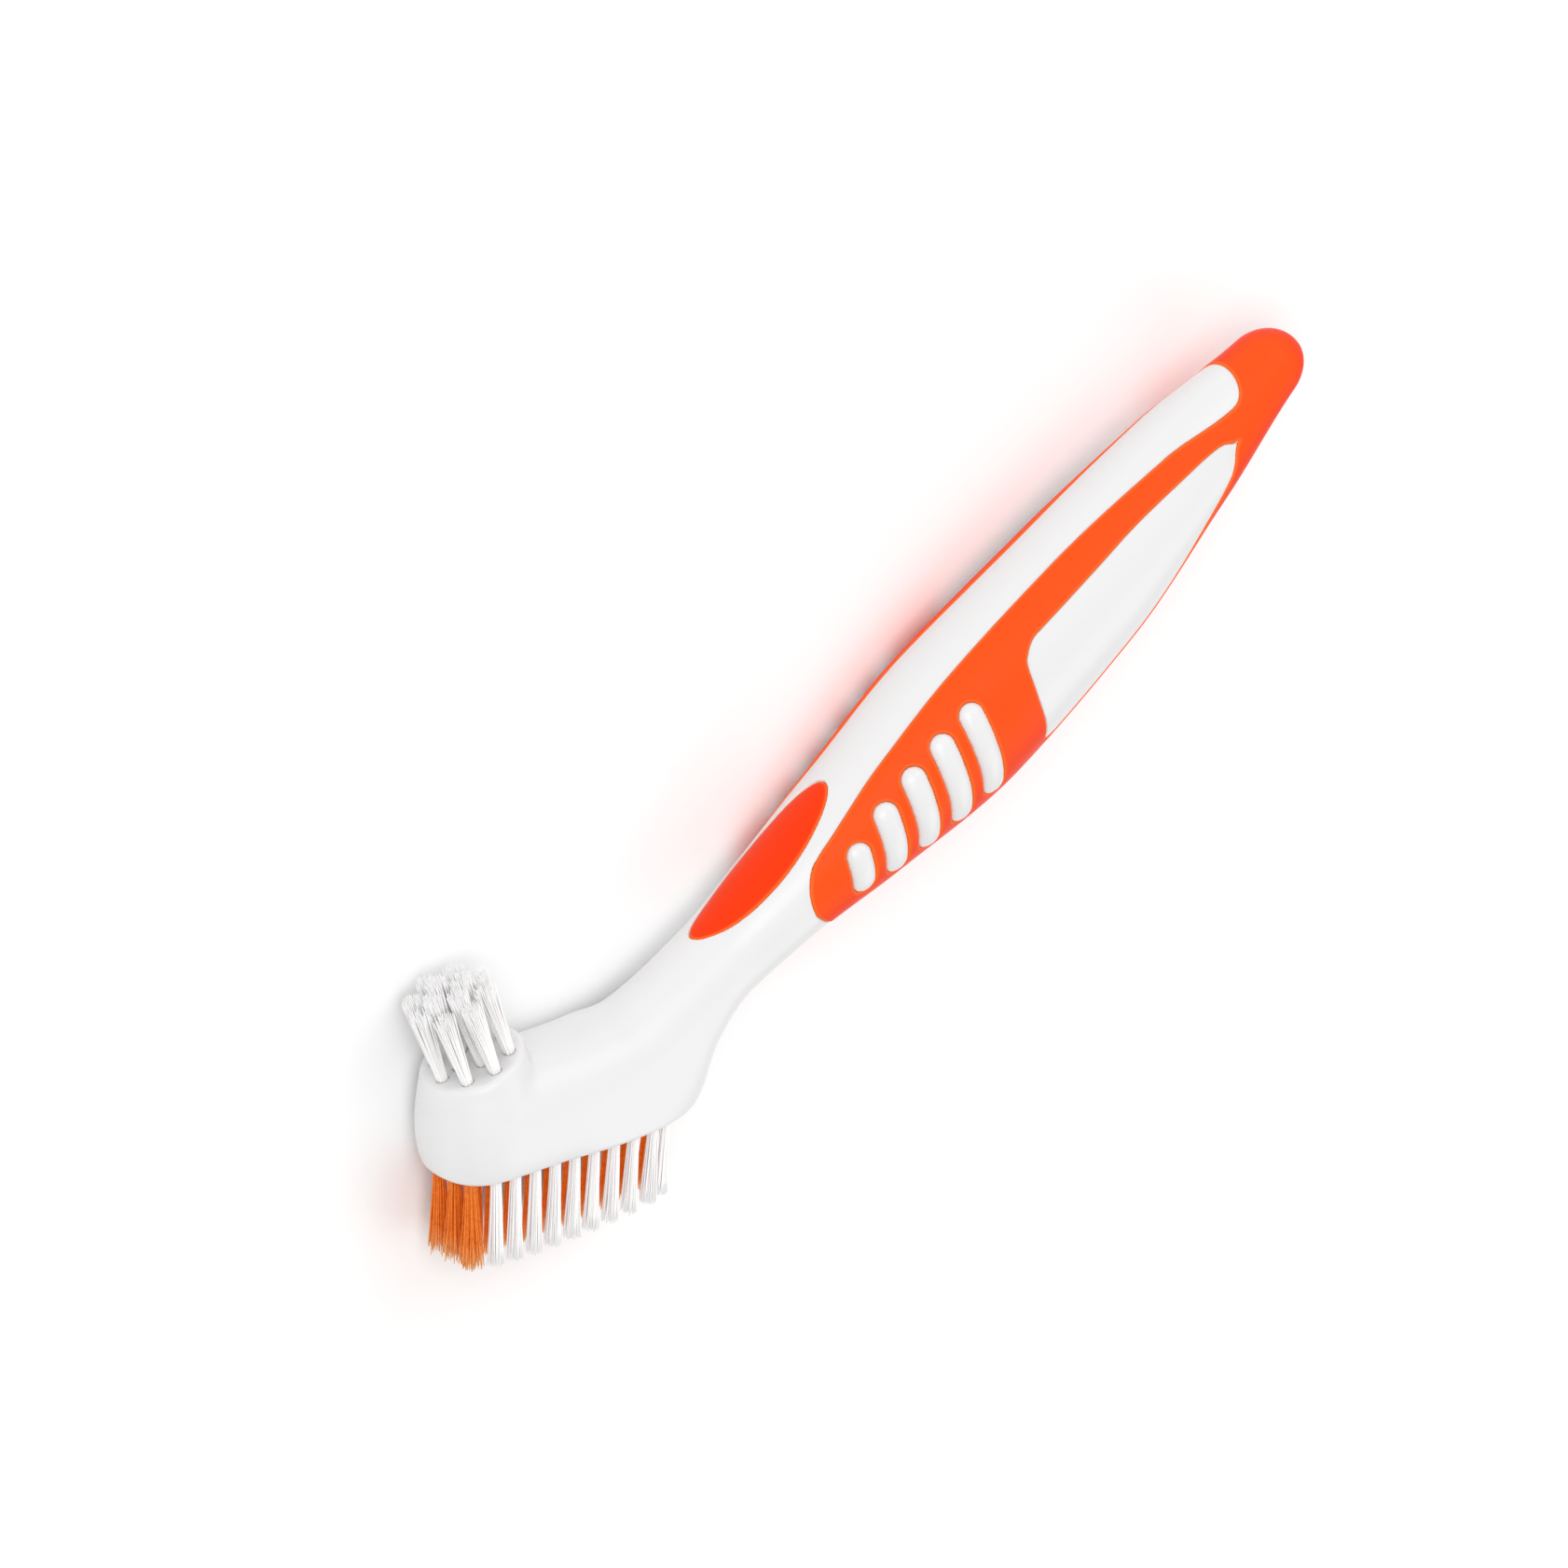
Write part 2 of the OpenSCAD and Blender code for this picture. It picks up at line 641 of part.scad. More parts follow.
// It rests on the side of its head and on a rib or the palm: place along X, and half width
function rest_x(t) = turned(middle(t))[0] - lie_x;
head_x = rest_x(nose_run);
head_side = rim(section(nose_run), 90 - 180 / ring_n)[0];
REST_ON = concat(
    [
        for (i = [0:rib_count - 1], s = RIB_STOPS)
            let (t = rib_station(i, s), q = rib_angle(i, s))
            [rest_x(t), skin(t, q)[2] + rib_proud * outward(t, q)[2]]
    ],
    [[rest_x(t_handle + palm_behind), palm_w / 2 + grip_proud]]
);
lie_tilt = max([for (p = REST_ON) atan((p[1] - head_side) / (p[0] - head_x))]);
lie_z = head_side * cos(lie_tilt) - head_x * sin(lie_tilt);
module lie() {
    translate([0, 0, lie_z]) rotate([0, -lie_tilt, 0])
        translate([-lie_x, -lie_y, 0]) rotate([0, 0, -lie_angle]) children();
}

// The moulded hard body: head, neck, core, windows and ribs in one piece
module brush_body() {
    color("whitesmoke") lie() difference() {
        union() {
            difference() {
                union() {
                    difference() {
                        loft(STATIONS);
                        on_boss() translate([0, 0, -boss_edge])
                            cylinder(h = boss_r, r = boss_r - boss_edge);
                    }
                    boss();
                }
                grip_space();
                pad_solid(-pad_recess - pad_t, 3 * over);
            }
            ribs();
        }
        translate([-head_w, -head_w, -head_w]) cube([t_handle, head_w, 2 * head_w]);
        for (p = concat(ROW_TUFTS, FRONT_TUFTS)) on_face(p) hole(hole_depth);
        for (p = concat(RING_TUFTS, CORE_TUFTS)) on_ring(p) hole(small_depth);
    }
}

// The soft grip, moulded over the core in one piece with the tail cap
module soft_grip() {
    color("orangered") lie() intersection() {
        loft(
            concat(
                [for (t = STATIONS) if (t > grip_front - grip_nose) t],
                [t_tail + grip_proud - TIP * tail_round]
            ),
            grip_proud
        );
        grip_space();
    }
}

// The soft oval under the thumb
module thumb_pad() {
    color("orangered") lie() pad_solid(-pad_recess - pad_t, -pad_recess);
}

// The metal anchors at the roots of all the tufts
module tuft_anchors() {
    color("goldenrod") lie() {
        for (p = concat(ROW_TUFTS, FRONT_TUFTS)) on_face(p) anchor(hole_depth);
        for (p = concat(RING_TUFTS, CORE_TUFTS)) on_ring(p) anchor(small_depth);
    }
}

module row_tuft(row, k) {
    p = [row_x(row, k), row_z(row)];
    color(row < 2 ? "white" : "darkorange") lie() on_face(p) tuft(hole_depth, bristle_len(p[0]));
}
module front_tuft(k) {
    p = FRONT_TUFTS[k - 1];
    color("darkorange") lie() on_face(p) tuft(hole_depth, bristle_len(p[0]));
}
module small_tuft(p) {
    color("white") lie() on_ring(p) tuft(small_depth, p[3], small_tip_r);
}

brush_body();
soft_grip();
thumb_pad();
tuft_anchors();
for (row = [0:3], k = [1:row_count])
    row_tuft(row, k);
for (k = [1:3])
    front_tuft(k);
for (k = [1:ring_count])
    small_tuft(RING_TUFTS[k - 1]);
for (k = [1:core_count])
    small_tuft(CORE_TUFTS[k - 1]);
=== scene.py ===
"""Denture brush: a two-shot handle, a wide bristle head and a small round brush on its back."""
import functools
import math

import bmesh
import bpy
import numpy as np
from mathutils import Matrix, Vector


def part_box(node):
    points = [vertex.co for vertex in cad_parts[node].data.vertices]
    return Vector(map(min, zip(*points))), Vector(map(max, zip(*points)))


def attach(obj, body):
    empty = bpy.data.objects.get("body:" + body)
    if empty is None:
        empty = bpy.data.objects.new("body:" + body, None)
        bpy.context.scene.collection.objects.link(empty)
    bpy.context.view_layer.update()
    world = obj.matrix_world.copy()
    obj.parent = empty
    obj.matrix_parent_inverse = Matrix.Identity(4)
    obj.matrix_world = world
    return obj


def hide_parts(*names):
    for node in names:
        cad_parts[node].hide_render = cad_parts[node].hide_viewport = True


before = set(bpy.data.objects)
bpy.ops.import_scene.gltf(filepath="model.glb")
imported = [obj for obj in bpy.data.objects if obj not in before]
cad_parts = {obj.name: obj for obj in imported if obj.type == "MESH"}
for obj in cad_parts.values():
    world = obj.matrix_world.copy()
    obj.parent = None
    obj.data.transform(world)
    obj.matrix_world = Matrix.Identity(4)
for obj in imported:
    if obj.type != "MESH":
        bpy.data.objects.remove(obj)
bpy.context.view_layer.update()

bl_info = {
    "name": "Denture Brush",
    "version": (1, 0, 0),
    "blender": (4, 5, 0),
    "location": "View3D > Sidebar > Brush",
    "description": "Builds the skin, the soft grip and the bristles of a denture brush",
    "category": "Object",
}

MM = 0.001
BODY = "root"


def length(name, millimetres, text):
    """A size in millimetres as a property in Blender's own unit."""
    return bpy.props.FloatProperty(
        name=name, description=text, default=millimetres * MM, unit="LENGTH", precision=5
    )


def angle(name, degrees, text):
    """An angle in degrees as a property."""
    return bpy.props.FloatProperty(
        name=name, description=text, default=math.radians(degrees), subtype="ANGLE"
    )


def share(name, value, text):
    """A plain number."""
    return bpy.props.FloatProperty(name=name, description=text, default=value)


def count(name, value, text):
    """A whole number."""
    return bpy.props.IntProperty(name=name, description=text, default=value, min=1)


def colour(name, red, green, blue, text):
    """A linear colour."""
    return bpy.props.FloatVectorProperty(
        name=name, description=text, default=(red, green, blue), subtype="COLOR", min=0, max=1
    )


class BRUSH_PG_head(bpy.types.PropertyGroup):
    """Sizes of the bristle head and of the boss on its back"""

    width: length("Width", 15.2, "Width across the bristle face")
    run: length("Straight length", 16.7, "Length before the head bends into the neck")
    face_drop: length("Face drop", 5.7, "Middle line above the bristle face")
    above: length("Back", 8.5, "Rise of the back above the middle line")
    below: length("Depth", 8.5, "Depth of the full section below the middle line")
    nose_run: length("Nose in plan", 7.6, "Length over which the front rounds off in plan")
    nose_edge: length("Nose in side view", 4.6, "Length of the front's rounding from the side")
    square: share("Squareness", 2.6, "Squareness of the upper half of the section")
    box: share("Lower squareness", 2.8, "Squareness of the lower half of the section")
    edge: length("Face edge", 0.9, "Radius of the edge round the bristle face")
    nose_box: share("Nose squareness", 2.2, "Squareness of the lower half at the front")
    boss_r: length("Boss radius", 6.7, "Radius of the boss under the small brush")
    boss_lean: angle("Boss lean", 20, "Forward lean of the boss")
    boss_at: length("Boss place", 6.5, "Distance of the boss from the front")
    boss_h: length("Boss height", 14.9, "Height of the boss above the bristle face")
    boss_edge: length("Boss edge", 0.7, "Radius of the edge of the boss")
    boss_foot: length("Boss foot", 2.6, "Height of the boss's foot above the middle line")
    boss_blend: length("Boss blend", 0.9, "Width of the blend round the foot of the boss")


class BRUSH_PG_neck(bpy.types.PropertyGroup):
    """Sizes of the bent neck"""

    rise: angle("Rise", 30.5, "Angle between the neck and the bristle face")
    bend_r: length("Bend", 30.3, "Radius of the bend between head and neck")
    run: length("Straight length", 23.6, "Straight length of the neck")
    heel_ahead: length("Heel place", 6.5, "Distance of the heel ahead of the end of the bend")
    heel_w: length("Heel width", 14.3, "Width at the heel")
    heel_above: length("Heel back", 7.6, "Rise above the middle line at the heel")
    heel_below: length("Heel depth", 11.7, "Depth below the middle line at the heel")
    heel_box: share("Heel squareness", 5, "Squareness of the lower half of the heel")
    throat_box: share("Throat squareness", 3.4, "Squareness of the lower half behind the heel")
    throat_behind: length("Throat place", 0.6, "Distance of the throat behind the bend")
    throat_w: length("Throat width", 12.4, "Width behind the heel")
    throat_above: length("Throat back", 6, "Rise above the middle line behind the heel")
    throat_below: length("Throat depth", 11.5, "Depth below the middle line behind the heel")
    slim_behind: length("Slim place", 6.6, "Distance of the first slim section behind the bend")
    slim_below: length("Slim depth", 7.55, "Depth below the middle line there")
    waist_behind: length("Waist place", 13.7, "Distance of the slimmest section behind the bend")
    waist_w: length("Waist width", 11.4, "Width at the slimmest place")
    waist_above: length("Waist back", 5.6, "Rise above the middle line at the slimmest place")
    waist_below: length("Waist depth", 5.6, "Depth below the middle line at the slimmest place")


class BRUSH_PG_handle(bpy.types.PropertyGroup):
    """Sizes of the handle"""

    run: length("Length", 98.4, "Length from the end of the neck to the tail")
    bow: angle("Bow", 6.4, "Angle that the handle curves back over its length")
    thumb_w: length("Thumb width", 13.3, "Width under the thumb")
    thumb_above: length("Thumb back", 6.6, "Rise above the middle line under the thumb")
    thumb_below: length("Thumb depth", 5.7, "Depth below the middle line under the thumb")
    swell_behind: length("Swelling place", 14.4, "Distance of the swelling behind the neck")
    swell_w: length("Swelling width", 16.35, "Width of the swelling")
    swell_above: length("Swelling back", 8.25, "Rise of the swelling")
    swell_below: length("Swelling depth", 7.9, "Depth of the swelling")
    palm_behind: length("Palm place", 34.6, "Distance of the palm behind the neck")
    palm_w: length("Palm width", 19, "Width at the palm")
    palm_above: length("Palm back", 10.5, "Rise at the palm")
    palm_below: length("Palm depth", 10.7, "Depth at the palm")
    rear_behind: length("Rear place", 56.8, "Distance of the rear of the palm behind the neck")
    rear_w: length("Rear width", 18, "Width at the rear of the palm")
    rear_above: length("Rear back", 9.7, "Rise at the rear of the palm")
    rear_below: length("Rear depth", 9.7, "Depth at the rear of the palm")
    taper_ahead: length("Taper place", 21.3, "Distance of the taper ahead of the tail")
    taper_w: length("Taper width", 14.6, "Width where the handle tapers")
    taper_above: length("Taper back", 8.2, "Rise where the handle tapers")
    taper_below: length("Taper depth", 6.2, "Depth where the handle tapers")
    tail_w: length("Tail width", 8.9, "Width before the tail rounds off")
    tail_above: length("Tail back", 4.65, "Rise at the tail")
    tail_below: length("Tail depth", 3.45, "Depth at the tail")
    tail_round: length("Tail rounding", 4.85, "Length over which the tail rounds off")
    square: share("Squareness", 2.1, "Squareness of the handle's section")
    tail_square: share("Tail squareness", 2, "Squareness of the tail's section")


class BRUSH_PG_grip(bpy.types.PropertyGroup):
    """Sizes of the soft grip, its windows, the finger ribs and the thumb pad"""

    thick: length("Thickness", 1.2, "Thickness of the grip over the core")
    proud: length("Proud", 0.15, "Height of the grip above the hard surface")
    lip: length("Lip", 0.45, "Radius of the grip's rounded edge")
    setback: length("Setback", 2, "Distance from the end of the neck to the grip's front")
    nose: length("Nose", 4, "Length over which the grip's front rounds off")
    tail_cap: length("Tail cap", 9.3, "Length of the all-soft cap")
    strip_round: length("Strip rounding", 3.7, "Length over which the white strip rounds off")
    window_setback: length("Window front", 39.4, "Distance from the neck to the windows")
    window_tail: length("Window rear", 15.6, "Distance from the windows to the tail")
    rib_count: count("Ribs", 5, "Finger ribs on each side")
    rib_pitch: length("Rib pitch", 5.36, "Distance between neighbouring ribs")
    rib_setback: length("First rib", 10.1, "Distance from the neck to the first rib")
    rib_w: length("Rib width", 3.4, "Width of a rib")
    rib_proud: length("Rib height", 0.6, "Height of a rib's crest above the surface")
    rib_lean: length("Rib lean", 2.6, "Distance that a rib's upper end leans to the tail")
    rib_middle: angle("Rib middle", 88, "Angle of the ribs' middle from the back")
    dish: length("Finger dish", 0.35, "Depth of the soft dish behind the last rib")
    pad_len: length("Pad length", 25.8, "Length of the thumb pad")
    pad_w: length("Pad width", 8.5, "Width of the thumb pad")
    pad_t: length("Pad thickness", 1.2, "Thickness of the thumb pad")
    pad_recess: length("Pad recess", 0.2, "Depth of the pad's edge under the hard surface")
    pad_setback: length("Pad place", 1.8, "Distance from the neck to the pad's middle")


class BRUSH_PG_bristles(bpy.types.PropertyGroup):
    """Sizes of the tufts and their filaments"""

    row_count: count("Tufts in a row", 10, "Tufts in each outer and inner row")
    pitch: length("Pitch", 3.02, "Distance between neighbouring tufts")
    outer_first: length("First tuft", 6.6, "Distance of the first outer tuft from the front")
    outer_row: length("Outer row", 4.65, "Distance of the outer rows from the middle")
    corner_ahead: length("Corner lead", 0.9, "Distance of the last outer tufts ahead of their pitch")
    corner_row: length("Corner row", 4.2, "Distance of the last outer tufts from the middle")
    inner_row: length("Inner row", 1.75, "Distance of the inner rows from the middle")
    front_pitch: length("Front pitch", 3.25, "Distance between the front tufts")
    front_first: length("Front tufts", 3, "Distance of the front tufts from the front")
    front_back: length("Front setback", 0.75, "Distance of the front roots behind that place")
    root_r: length("Root radius", 0.76, "Radius of a tuft where it leaves the head")
    tip_r: length("Tip radius", 1.2, "Radius of a tuft at its tips")
    front_tip_r: length("Front tip radius", 1.65, "Radius of the front tufts at their tips")
    middle_more: length("Middle length", 0.7, "Extra length of the tufts halfway along a row")
    front_len: length("Front length", 12.1, "Clear length of the bristles at the front")
    rear_len: length("Rear length", 10, "Clear length of the bristles at the rear")
    rear_lean: angle("Rear lean", 6, "Forward lean of the rearmost bristles")
    ring_count: count("Ring tufts", 8, "Tufts in the outer ring of the small brush")
    ring_r: length("Ring radius", 4.8, "Radius of the outer ring")
    core_count: count("Centre tufts", 4, "Tufts in the inner ring")
    core_r: length("Centre radius", 2.2, "Radius of the inner ring")
    ring_splay: angle("Splay", -1, "Angle that the ring's tufts splay outwards")
    small_tip_r: length("Small tip radius", 1.55, "Radius of the small brush's tufts at their tips")
    small_len: length("Small length", 11.4, "Length of the small brush in the middle")
    small_dome: length("Dome", 1.1, "Height that the ring is trimmed below the middle")
    filaments: count("Filaments", 46, "Filaments in a tuft")
    filament_r: length("Filament radius", 0.11, "Radius of a filament")
    hole_r: length("Hole radius", 0.83, "Radius of a tuft hole")
    hole_edge: length("Hole edge", 0.06, "Radius of a tuft hole's rounded mouth")
    hole_depth: length("Hole depth", 1.6, "Depth of a tuft hole that can be seen into")
    sunk: length("Sunk root", 1.2, "Length of the filaments inside the hole")


class BRUSH_PG_finish(bpy.types.PropertyGroup):
    """Colours of the plastics, the filaments and the stage"""

    white: colour("White plastic", 0.785, 0.785, 0.785, "Colour of the hard body")
    orange: colour("Orange grip", 0.93, 0.083, 0.008, "Colour of the grip where it faces the eye")
    # Painted shade: the deeper orange that the grip turns to where its surface faces away from the eye.
    orange_deep: colour("Orange flank", 0.9, 0.045, 0.001, "Colour of the grip where it turns away")
    pad: colour("Orange pad", 0.9, 0.04, 0.002, "Colour of the thumb pad where it faces the eye")
    # Paler orange along the grip's lip: partly the thin elastomer over the white, partly a painted
    # highlight.
    orange_rim: colour("Orange edge", 0.95, 0.15, 0.02, "Colour of the grip's thin edge")
    white_root: colour("White filament", 0.98, 0.965, 0.96, "Colour of a white filament")
    white_tip: colour("White tip", 0.99, 0.985, 0.985, "Colour of a white filament's tip")
    amber_root: colour("Amber filament", 0.92, 0.22, 0.016, "Colour of an orange filament")
    amber_tip: colour("Amber tip", 0.97, 0.42, 0.13, "Colour of an orange filament's tip")
    brass: colour("Brass", 0.72, 0.52, 0.22, "Colour of the anchors")
    floor: colour("Floor", 0.97, 0.97, 0.97, "Colour of the floor")


class Sizes:
    """The sizes of one property group in millimetres, degrees and plain numbers."""

    def __init__(self, group):
        for key, prop in group.bl_rna.properties.items():
            if key in ("rna_type", "name"):
                continue
            value = getattr(group, key)
            if getattr(prop, "unit", "NONE") == "LENGTH":
                value = value / MM
            elif getattr(prop, "subtype", "NONE") == "ANGLE":
                value = math.degrees(value)
            setattr(self, key, value)


def knot_slopes(x, y):
    """Slopes of a smooth curve through knots that never overshoots them."""
    h = np.diff(x)
    step = np.diff(y) / h
    slopes = np.zeros(len(x))
    for k in range(1, len(x) - 1):
        a, b, ha, hb = step[k - 1], step[k], h[k - 1], h[k]
        if a * b > 0:
            slopes[k] = 3 * (ha + hb) / ((2 * hb + ha) / a + (hb + 2 * ha) / b)
    return slopes


def curve(x, y, t):
    """The smooth curve through knots x, y, read at t."""
    x, y = np.asarray(x, float), np.asarray(y, float)
    slopes = knot_slopes(x, y)
    t = np.clip(t, x[0], x[-1])
    k = np.clip(np.searchsorted(x, t, side="right") - 1, 0, len(x) - 2)
    h = x[k + 1] - x[k]
    u = (t - x[k]) / h
    a, b, v, w = slopes[k] * h, slopes[k + 1] * h, y[k], y[k + 1]
    return v + a * u + (3 * (w - v) - 2 * a - b) * u**2 + (2 * (v - w) + a + b) * u**3


def rounding(d, r, power):
    """Share of a section that is left at distance d from an end that rounds off over r."""
    inside = np.clip((r - np.maximum(d, 0)) / r, 0, 1)
    return np.maximum(1 - inside**power, 0) ** (1 / power)


def unit(v):
    """Vectors of length one."""
    return v / np.maximum(np.linalg.norm(v, axis=-1, keepdims=True), 1e-12)


# Shares of a border's length and its angles there: the strip's edge and both edges of a window.
STRIP_EDGE = ([0, 0.07, 0.21, 0.6, 0.83, 0.96, 1], [55, 45, 31, 23.5, 34, 51, 53])
WINDOW_TOP = ([0, 0.035, 0.083, 0.157, 0.523, 0.82, 0.949, 1], [125, 90, 61, 53, 53, 60, 67, 78])
WINDOW_KEEL = ([0, 0.053, 0.541, 0.753, 0.91, 1], [131, 138, 134, 119, 102, 79])

# Angle that each rib reaches to either side of its middle, from the front to the rear.
RIB_REACH = [13, 23, 27, 28.5, 28.5]

# Angle of the foremost point of the grip, and powers of the curves of the grip's and head's front.
NOSE_MIDDLE = 95
NOSE_SPACING = 1.5
KEEL_POWER = 0.8
NOSE_PLAN_POWER = 2.4
NOSE_SIDE_POWER = 2.2

# The two tufts whose boxes in the frame show how the brush lies.
REST_TUFTS = ("left_tuft_1", "right_tuft_1")

# Weights and shifts along the brush of the three readings that ease each section's sizes.
EASED = ((0.25, -1.6), (0.5, 0), (0.25, 1.6))

# The boss: its foot as a share of the nose's length, the height over which its blend fades in,
# how far behind the straight head and how far round it reaches, and how it is searched for.
FOOT_SHARE = 0.985
BLEND_RISE = 2.5
BOSS_BEHIND = 2
BOSS_ROUND = 130
RULING_STEPS = 4
SEARCH_REACH = 16
SEARCH_STEPS = 81
SEARCH_HALVINGS = 24

# Points of the lines that the colours meet at.
BORDER_POINTS = 420
NOSE_POINTS = 60
WINDOW_POINTS = 200
RIB_POINTS = 13
PAD_POINTS = 181

# Steps in millimetres and degrees for the skin's normals, and the length of the tip's own.
NORMAL_STEP = 0.02
NORMAL_TURN = 0.2
TIP_LENGTH = 0.05

# Rows of the skin's grid over the nose, the neck, the grip and the tail, and its columns.
FRONT_ROWS, NECK_ROWS, GRIP_ROWS, TAIL_ROWS = 27, 90, 150, 15
COLUMNS = 121

# Millimetres from the borders at which the skin is cut. For the bristle face and the boss's face
# they are shares of the edge's radius.
RIM_LEVELS = (-1.25, -0.75, -0.35, -0.12, 0, 0.03, 0.12, 0.28, 0.45, 0.9)
PAD_LEVELS = (-0.12, 0, 0.03, 0.15, 0.4)
FACE_LEVELS = (1, 0.7, 0.45, 0.25, 0.1, 0.02, 0)
BOSS_LEVELS = (0, 0.5, 1)

# The cuts round the boss's face end 1 mm under it, along a field this steep, and no cut comes
# nearer to a point than this share of the edge.
BOSS_STEEP = 3
CUT_MARGIN = 0.002


class Form:
    """The brush's middle line, its sections and the borders of its colours, in millimetres.

    A place on the skin is a station t along the brush and an angle q from the middle of its back.
    """

    def __init__(self, scene):
        self.head = Sizes(scene.brush_head)
        self.neck = Sizes(scene.brush_neck)
        self.handle = Sizes(scene.brush_handle)
        self.grip = Sizes(scene.brush_grip)
        self.bristles = Sizes(scene.brush_bristles)
        head, neck, handle, grip = self.head, self.neck, self.handle, self.grip
        self.t_bend = head.run
        self.t_neck = self.t_bend + neck.bend_r * math.radians(neck.rise)
        self.t_handle = self.t_neck + neck.run
        self.t_tail = self.t_handle + handle.run
        self.bow_r = handle.run / math.radians(handle.bow)
        self.grip_front = self.t_handle + grip.setback
        self.strip_end = self.t_tail - grip.tail_cap
        self.window_front = self.t_handle + grip.window_setback
        self.window_rear = self.t_tail - grip.window_tail
        self.pad_mid = self.t_handle + grip.pad_setback
        self.knots = self.section_knots()
        self.set_borders()
        self.set_rest()

    def key(self):
        """All the sizes that the skin depends on."""
        groups = (self.head, self.neck, self.handle, self.grip)
        return tuple(value for group in groups for value in vars(group).values())

    def section_knots(self):
        """Stations, half widths, rises, depths and squarenesses of the named sections."""
        head, neck, handle = self.head, self.neck, self.handle
        t_neck, t_handle, t_tail = self.t_neck, self.t_handle, self.t_tail
        level, tail = handle.square, handle.tail_square
        rows = [
            (0, head.width, head.above, head.below, head.square, head.nose_box),
            (head.nose_run, head.width, head.above, head.below, head.square, head.box),
            (self.t_bend, head.width, head.above, head.below, head.square, head.box),
            (t_neck - neck.heel_ahead, neck.heel_w, neck.heel_above, neck.heel_below,
             head.square, neck.heel_box),
            (t_neck + neck.throat_behind, neck.throat_w, neck.throat_above, neck.throat_below,
             level, neck.throat_box),
            (t_neck + neck.slim_behind, neck.waist_w, neck.waist_above, neck.slim_below,
             level, head.box),
            (t_neck + neck.waist_behind, neck.waist_w, neck.waist_above, neck.waist_below,
             level, level),
            (t_handle, handle.thumb_w, handle.thumb_above, handle.thumb_below, level, level),
            (t_handle + handle.swell_behind, handle.swell_w, handle.swell_above,
             handle.swell_below, level, level),
            (t_handle + handle.palm_behind, handle.palm_w, handle.palm_above,
             handle.palm_below, level, level),
            (t_handle + handle.rear_behind, handle.rear_w, handle.rear_above,
             handle.rear_below, level, level),
            (t_tail - handle.taper_ahead, handle.taper_w, handle.taper_above,
             handle.taper_below, tail, tail),
            (t_tail, handle.tail_w, handle.tail_above, handle.tail_below, tail, tail),
        ]
        table = np.array(rows, float).T
        table[1] /= 2
        return table

    def middle(self, t):
        """Place in X and Y and rising angle of the middle line at stations t."""
        head, neck = self.head, self.neck
        t = np.asarray(t, float)
        rise = math.radians(neck.rise)
        bend = np.clip((t - self.t_bend) / neck.bend_r, 0, rise)
        x = np.minimum(t, self.t_bend) + neck.bend_r * np.sin(bend)
        y = head.face_drop + neck.bend_r * (1 - np.cos(bend))
        straight = np.clip(t - self.t_neck, 0, neck.run)
        bow = np.maximum(t - self.t_handle, 0) / self.bow_r
        x = x + straight * math.cos(rise) + self.bow_r * (np.sin(rise + bow) - math.sin(rise))
        y = y + straight * math.sin(rise) + self.bow_r * (math.cos(rise) - np.cos(rise + bow))
        return x, y, bend + bow

    def at(self, t, n, z):
        """Points that lie n above the middle line and z to the side."""
        x, y, a = self.middle(t)
        return np.stack([x - n * np.sin(a), y + n * np.cos(a), z + 0 * n], axis=-1)

    def section(self, t):
        """Half width, rise, depth and squarenesses at stations t."""
        head, handle = self.head, self.handle
        tail = rounding(self.t_tail - t, handle.tail_round, 2)
        plan = rounding(t, head.nose_run, NOSE_PLAN_POWER) * tail
        side = rounding(t, head.nose_edge, NOSE_SIDE_POWER) * tail
        w, up, down, above, below = (
            sum(weight * curve(self.knots[0], row, t + shift) for weight, shift in EASED)
            for row in self.knots[1:]
        )
        return w * plan, up * side, down * side, above, below

    def rim(self, t, q):
        """Side and height of the plain section's edge at stations t and angles q."""
        w, up, down, above, below = self.section(t)
        c, s = np.cos(np.radians(q)), np.sin(np.radians(q))
        power = 2 / np.where(c > 0, above, below)
        side = w * np.sign(s) * np.abs(s) ** power
        height = np.where(c > 0, up, down) * np.sign(c) * np.abs(c) ** power
        return side, height

    def boss_axis(self):
        """Middle of the boss's face and the direction that it faces."""
        head = self.head
        lean = math.radians(head.boss_lean)
        centre = np.array([head.boss_at, head.boss_h, 0])
        return centre, np.array([-math.sin(lean), math.cos(lean), 0])

    def boss_place(self, p):
        """Height above the boss's face and distance from its axis."""
        centre, axis = self.boss_axis()
        height = (p - centre) @ axis
        return height, np.linalg.norm(p - centre - height[..., None] * axis, axis=-1)

    def in_boss(self, p):
        """True for the points inside the boss.

        It is ruled from an upright foot on the head to its leaning face, which has a rounded edge.
        """
        head = self.head
        centre, axis = self.boss_axis()
        foot = np.array([head.nose_run, head.face_drop + head.boss_foot, 0])
        foot_axis = np.array([0, 1.0, 0])
        rise = centre - foot
        s = np.zeros(p.shape[:-1])
        for _ in range(RULING_STEPS):
            place = p - foot - s[..., None] * rise
            way = foot_axis + s[..., None] * (axis - foot_axis)
            s = s + (place * way).sum(axis=-1) / (way @ rise)
        s = np.clip(s, -1, 1)
        place = p - foot - s[..., None] * rise
        way = unit(foot_axis + s[..., None] * (axis - foot_axis))
        radius = np.linalg.norm(place - (place * way).sum(axis=-1)[..., None] * way, axis=-1)
        foot_r = FOOT_SHARE * head.nose_run
        edge = foot_r + s * (head.boss_r - foot_r)
        height = (p - centre) @ axis
        over = np.maximum(height + head.boss_edge, 0)
        wide = np.maximum(radius - edge + head.boss_edge, 0)
        return (height < 0) & (s > 0) & (over**2 + wide**2 < head.boss_edge**2)

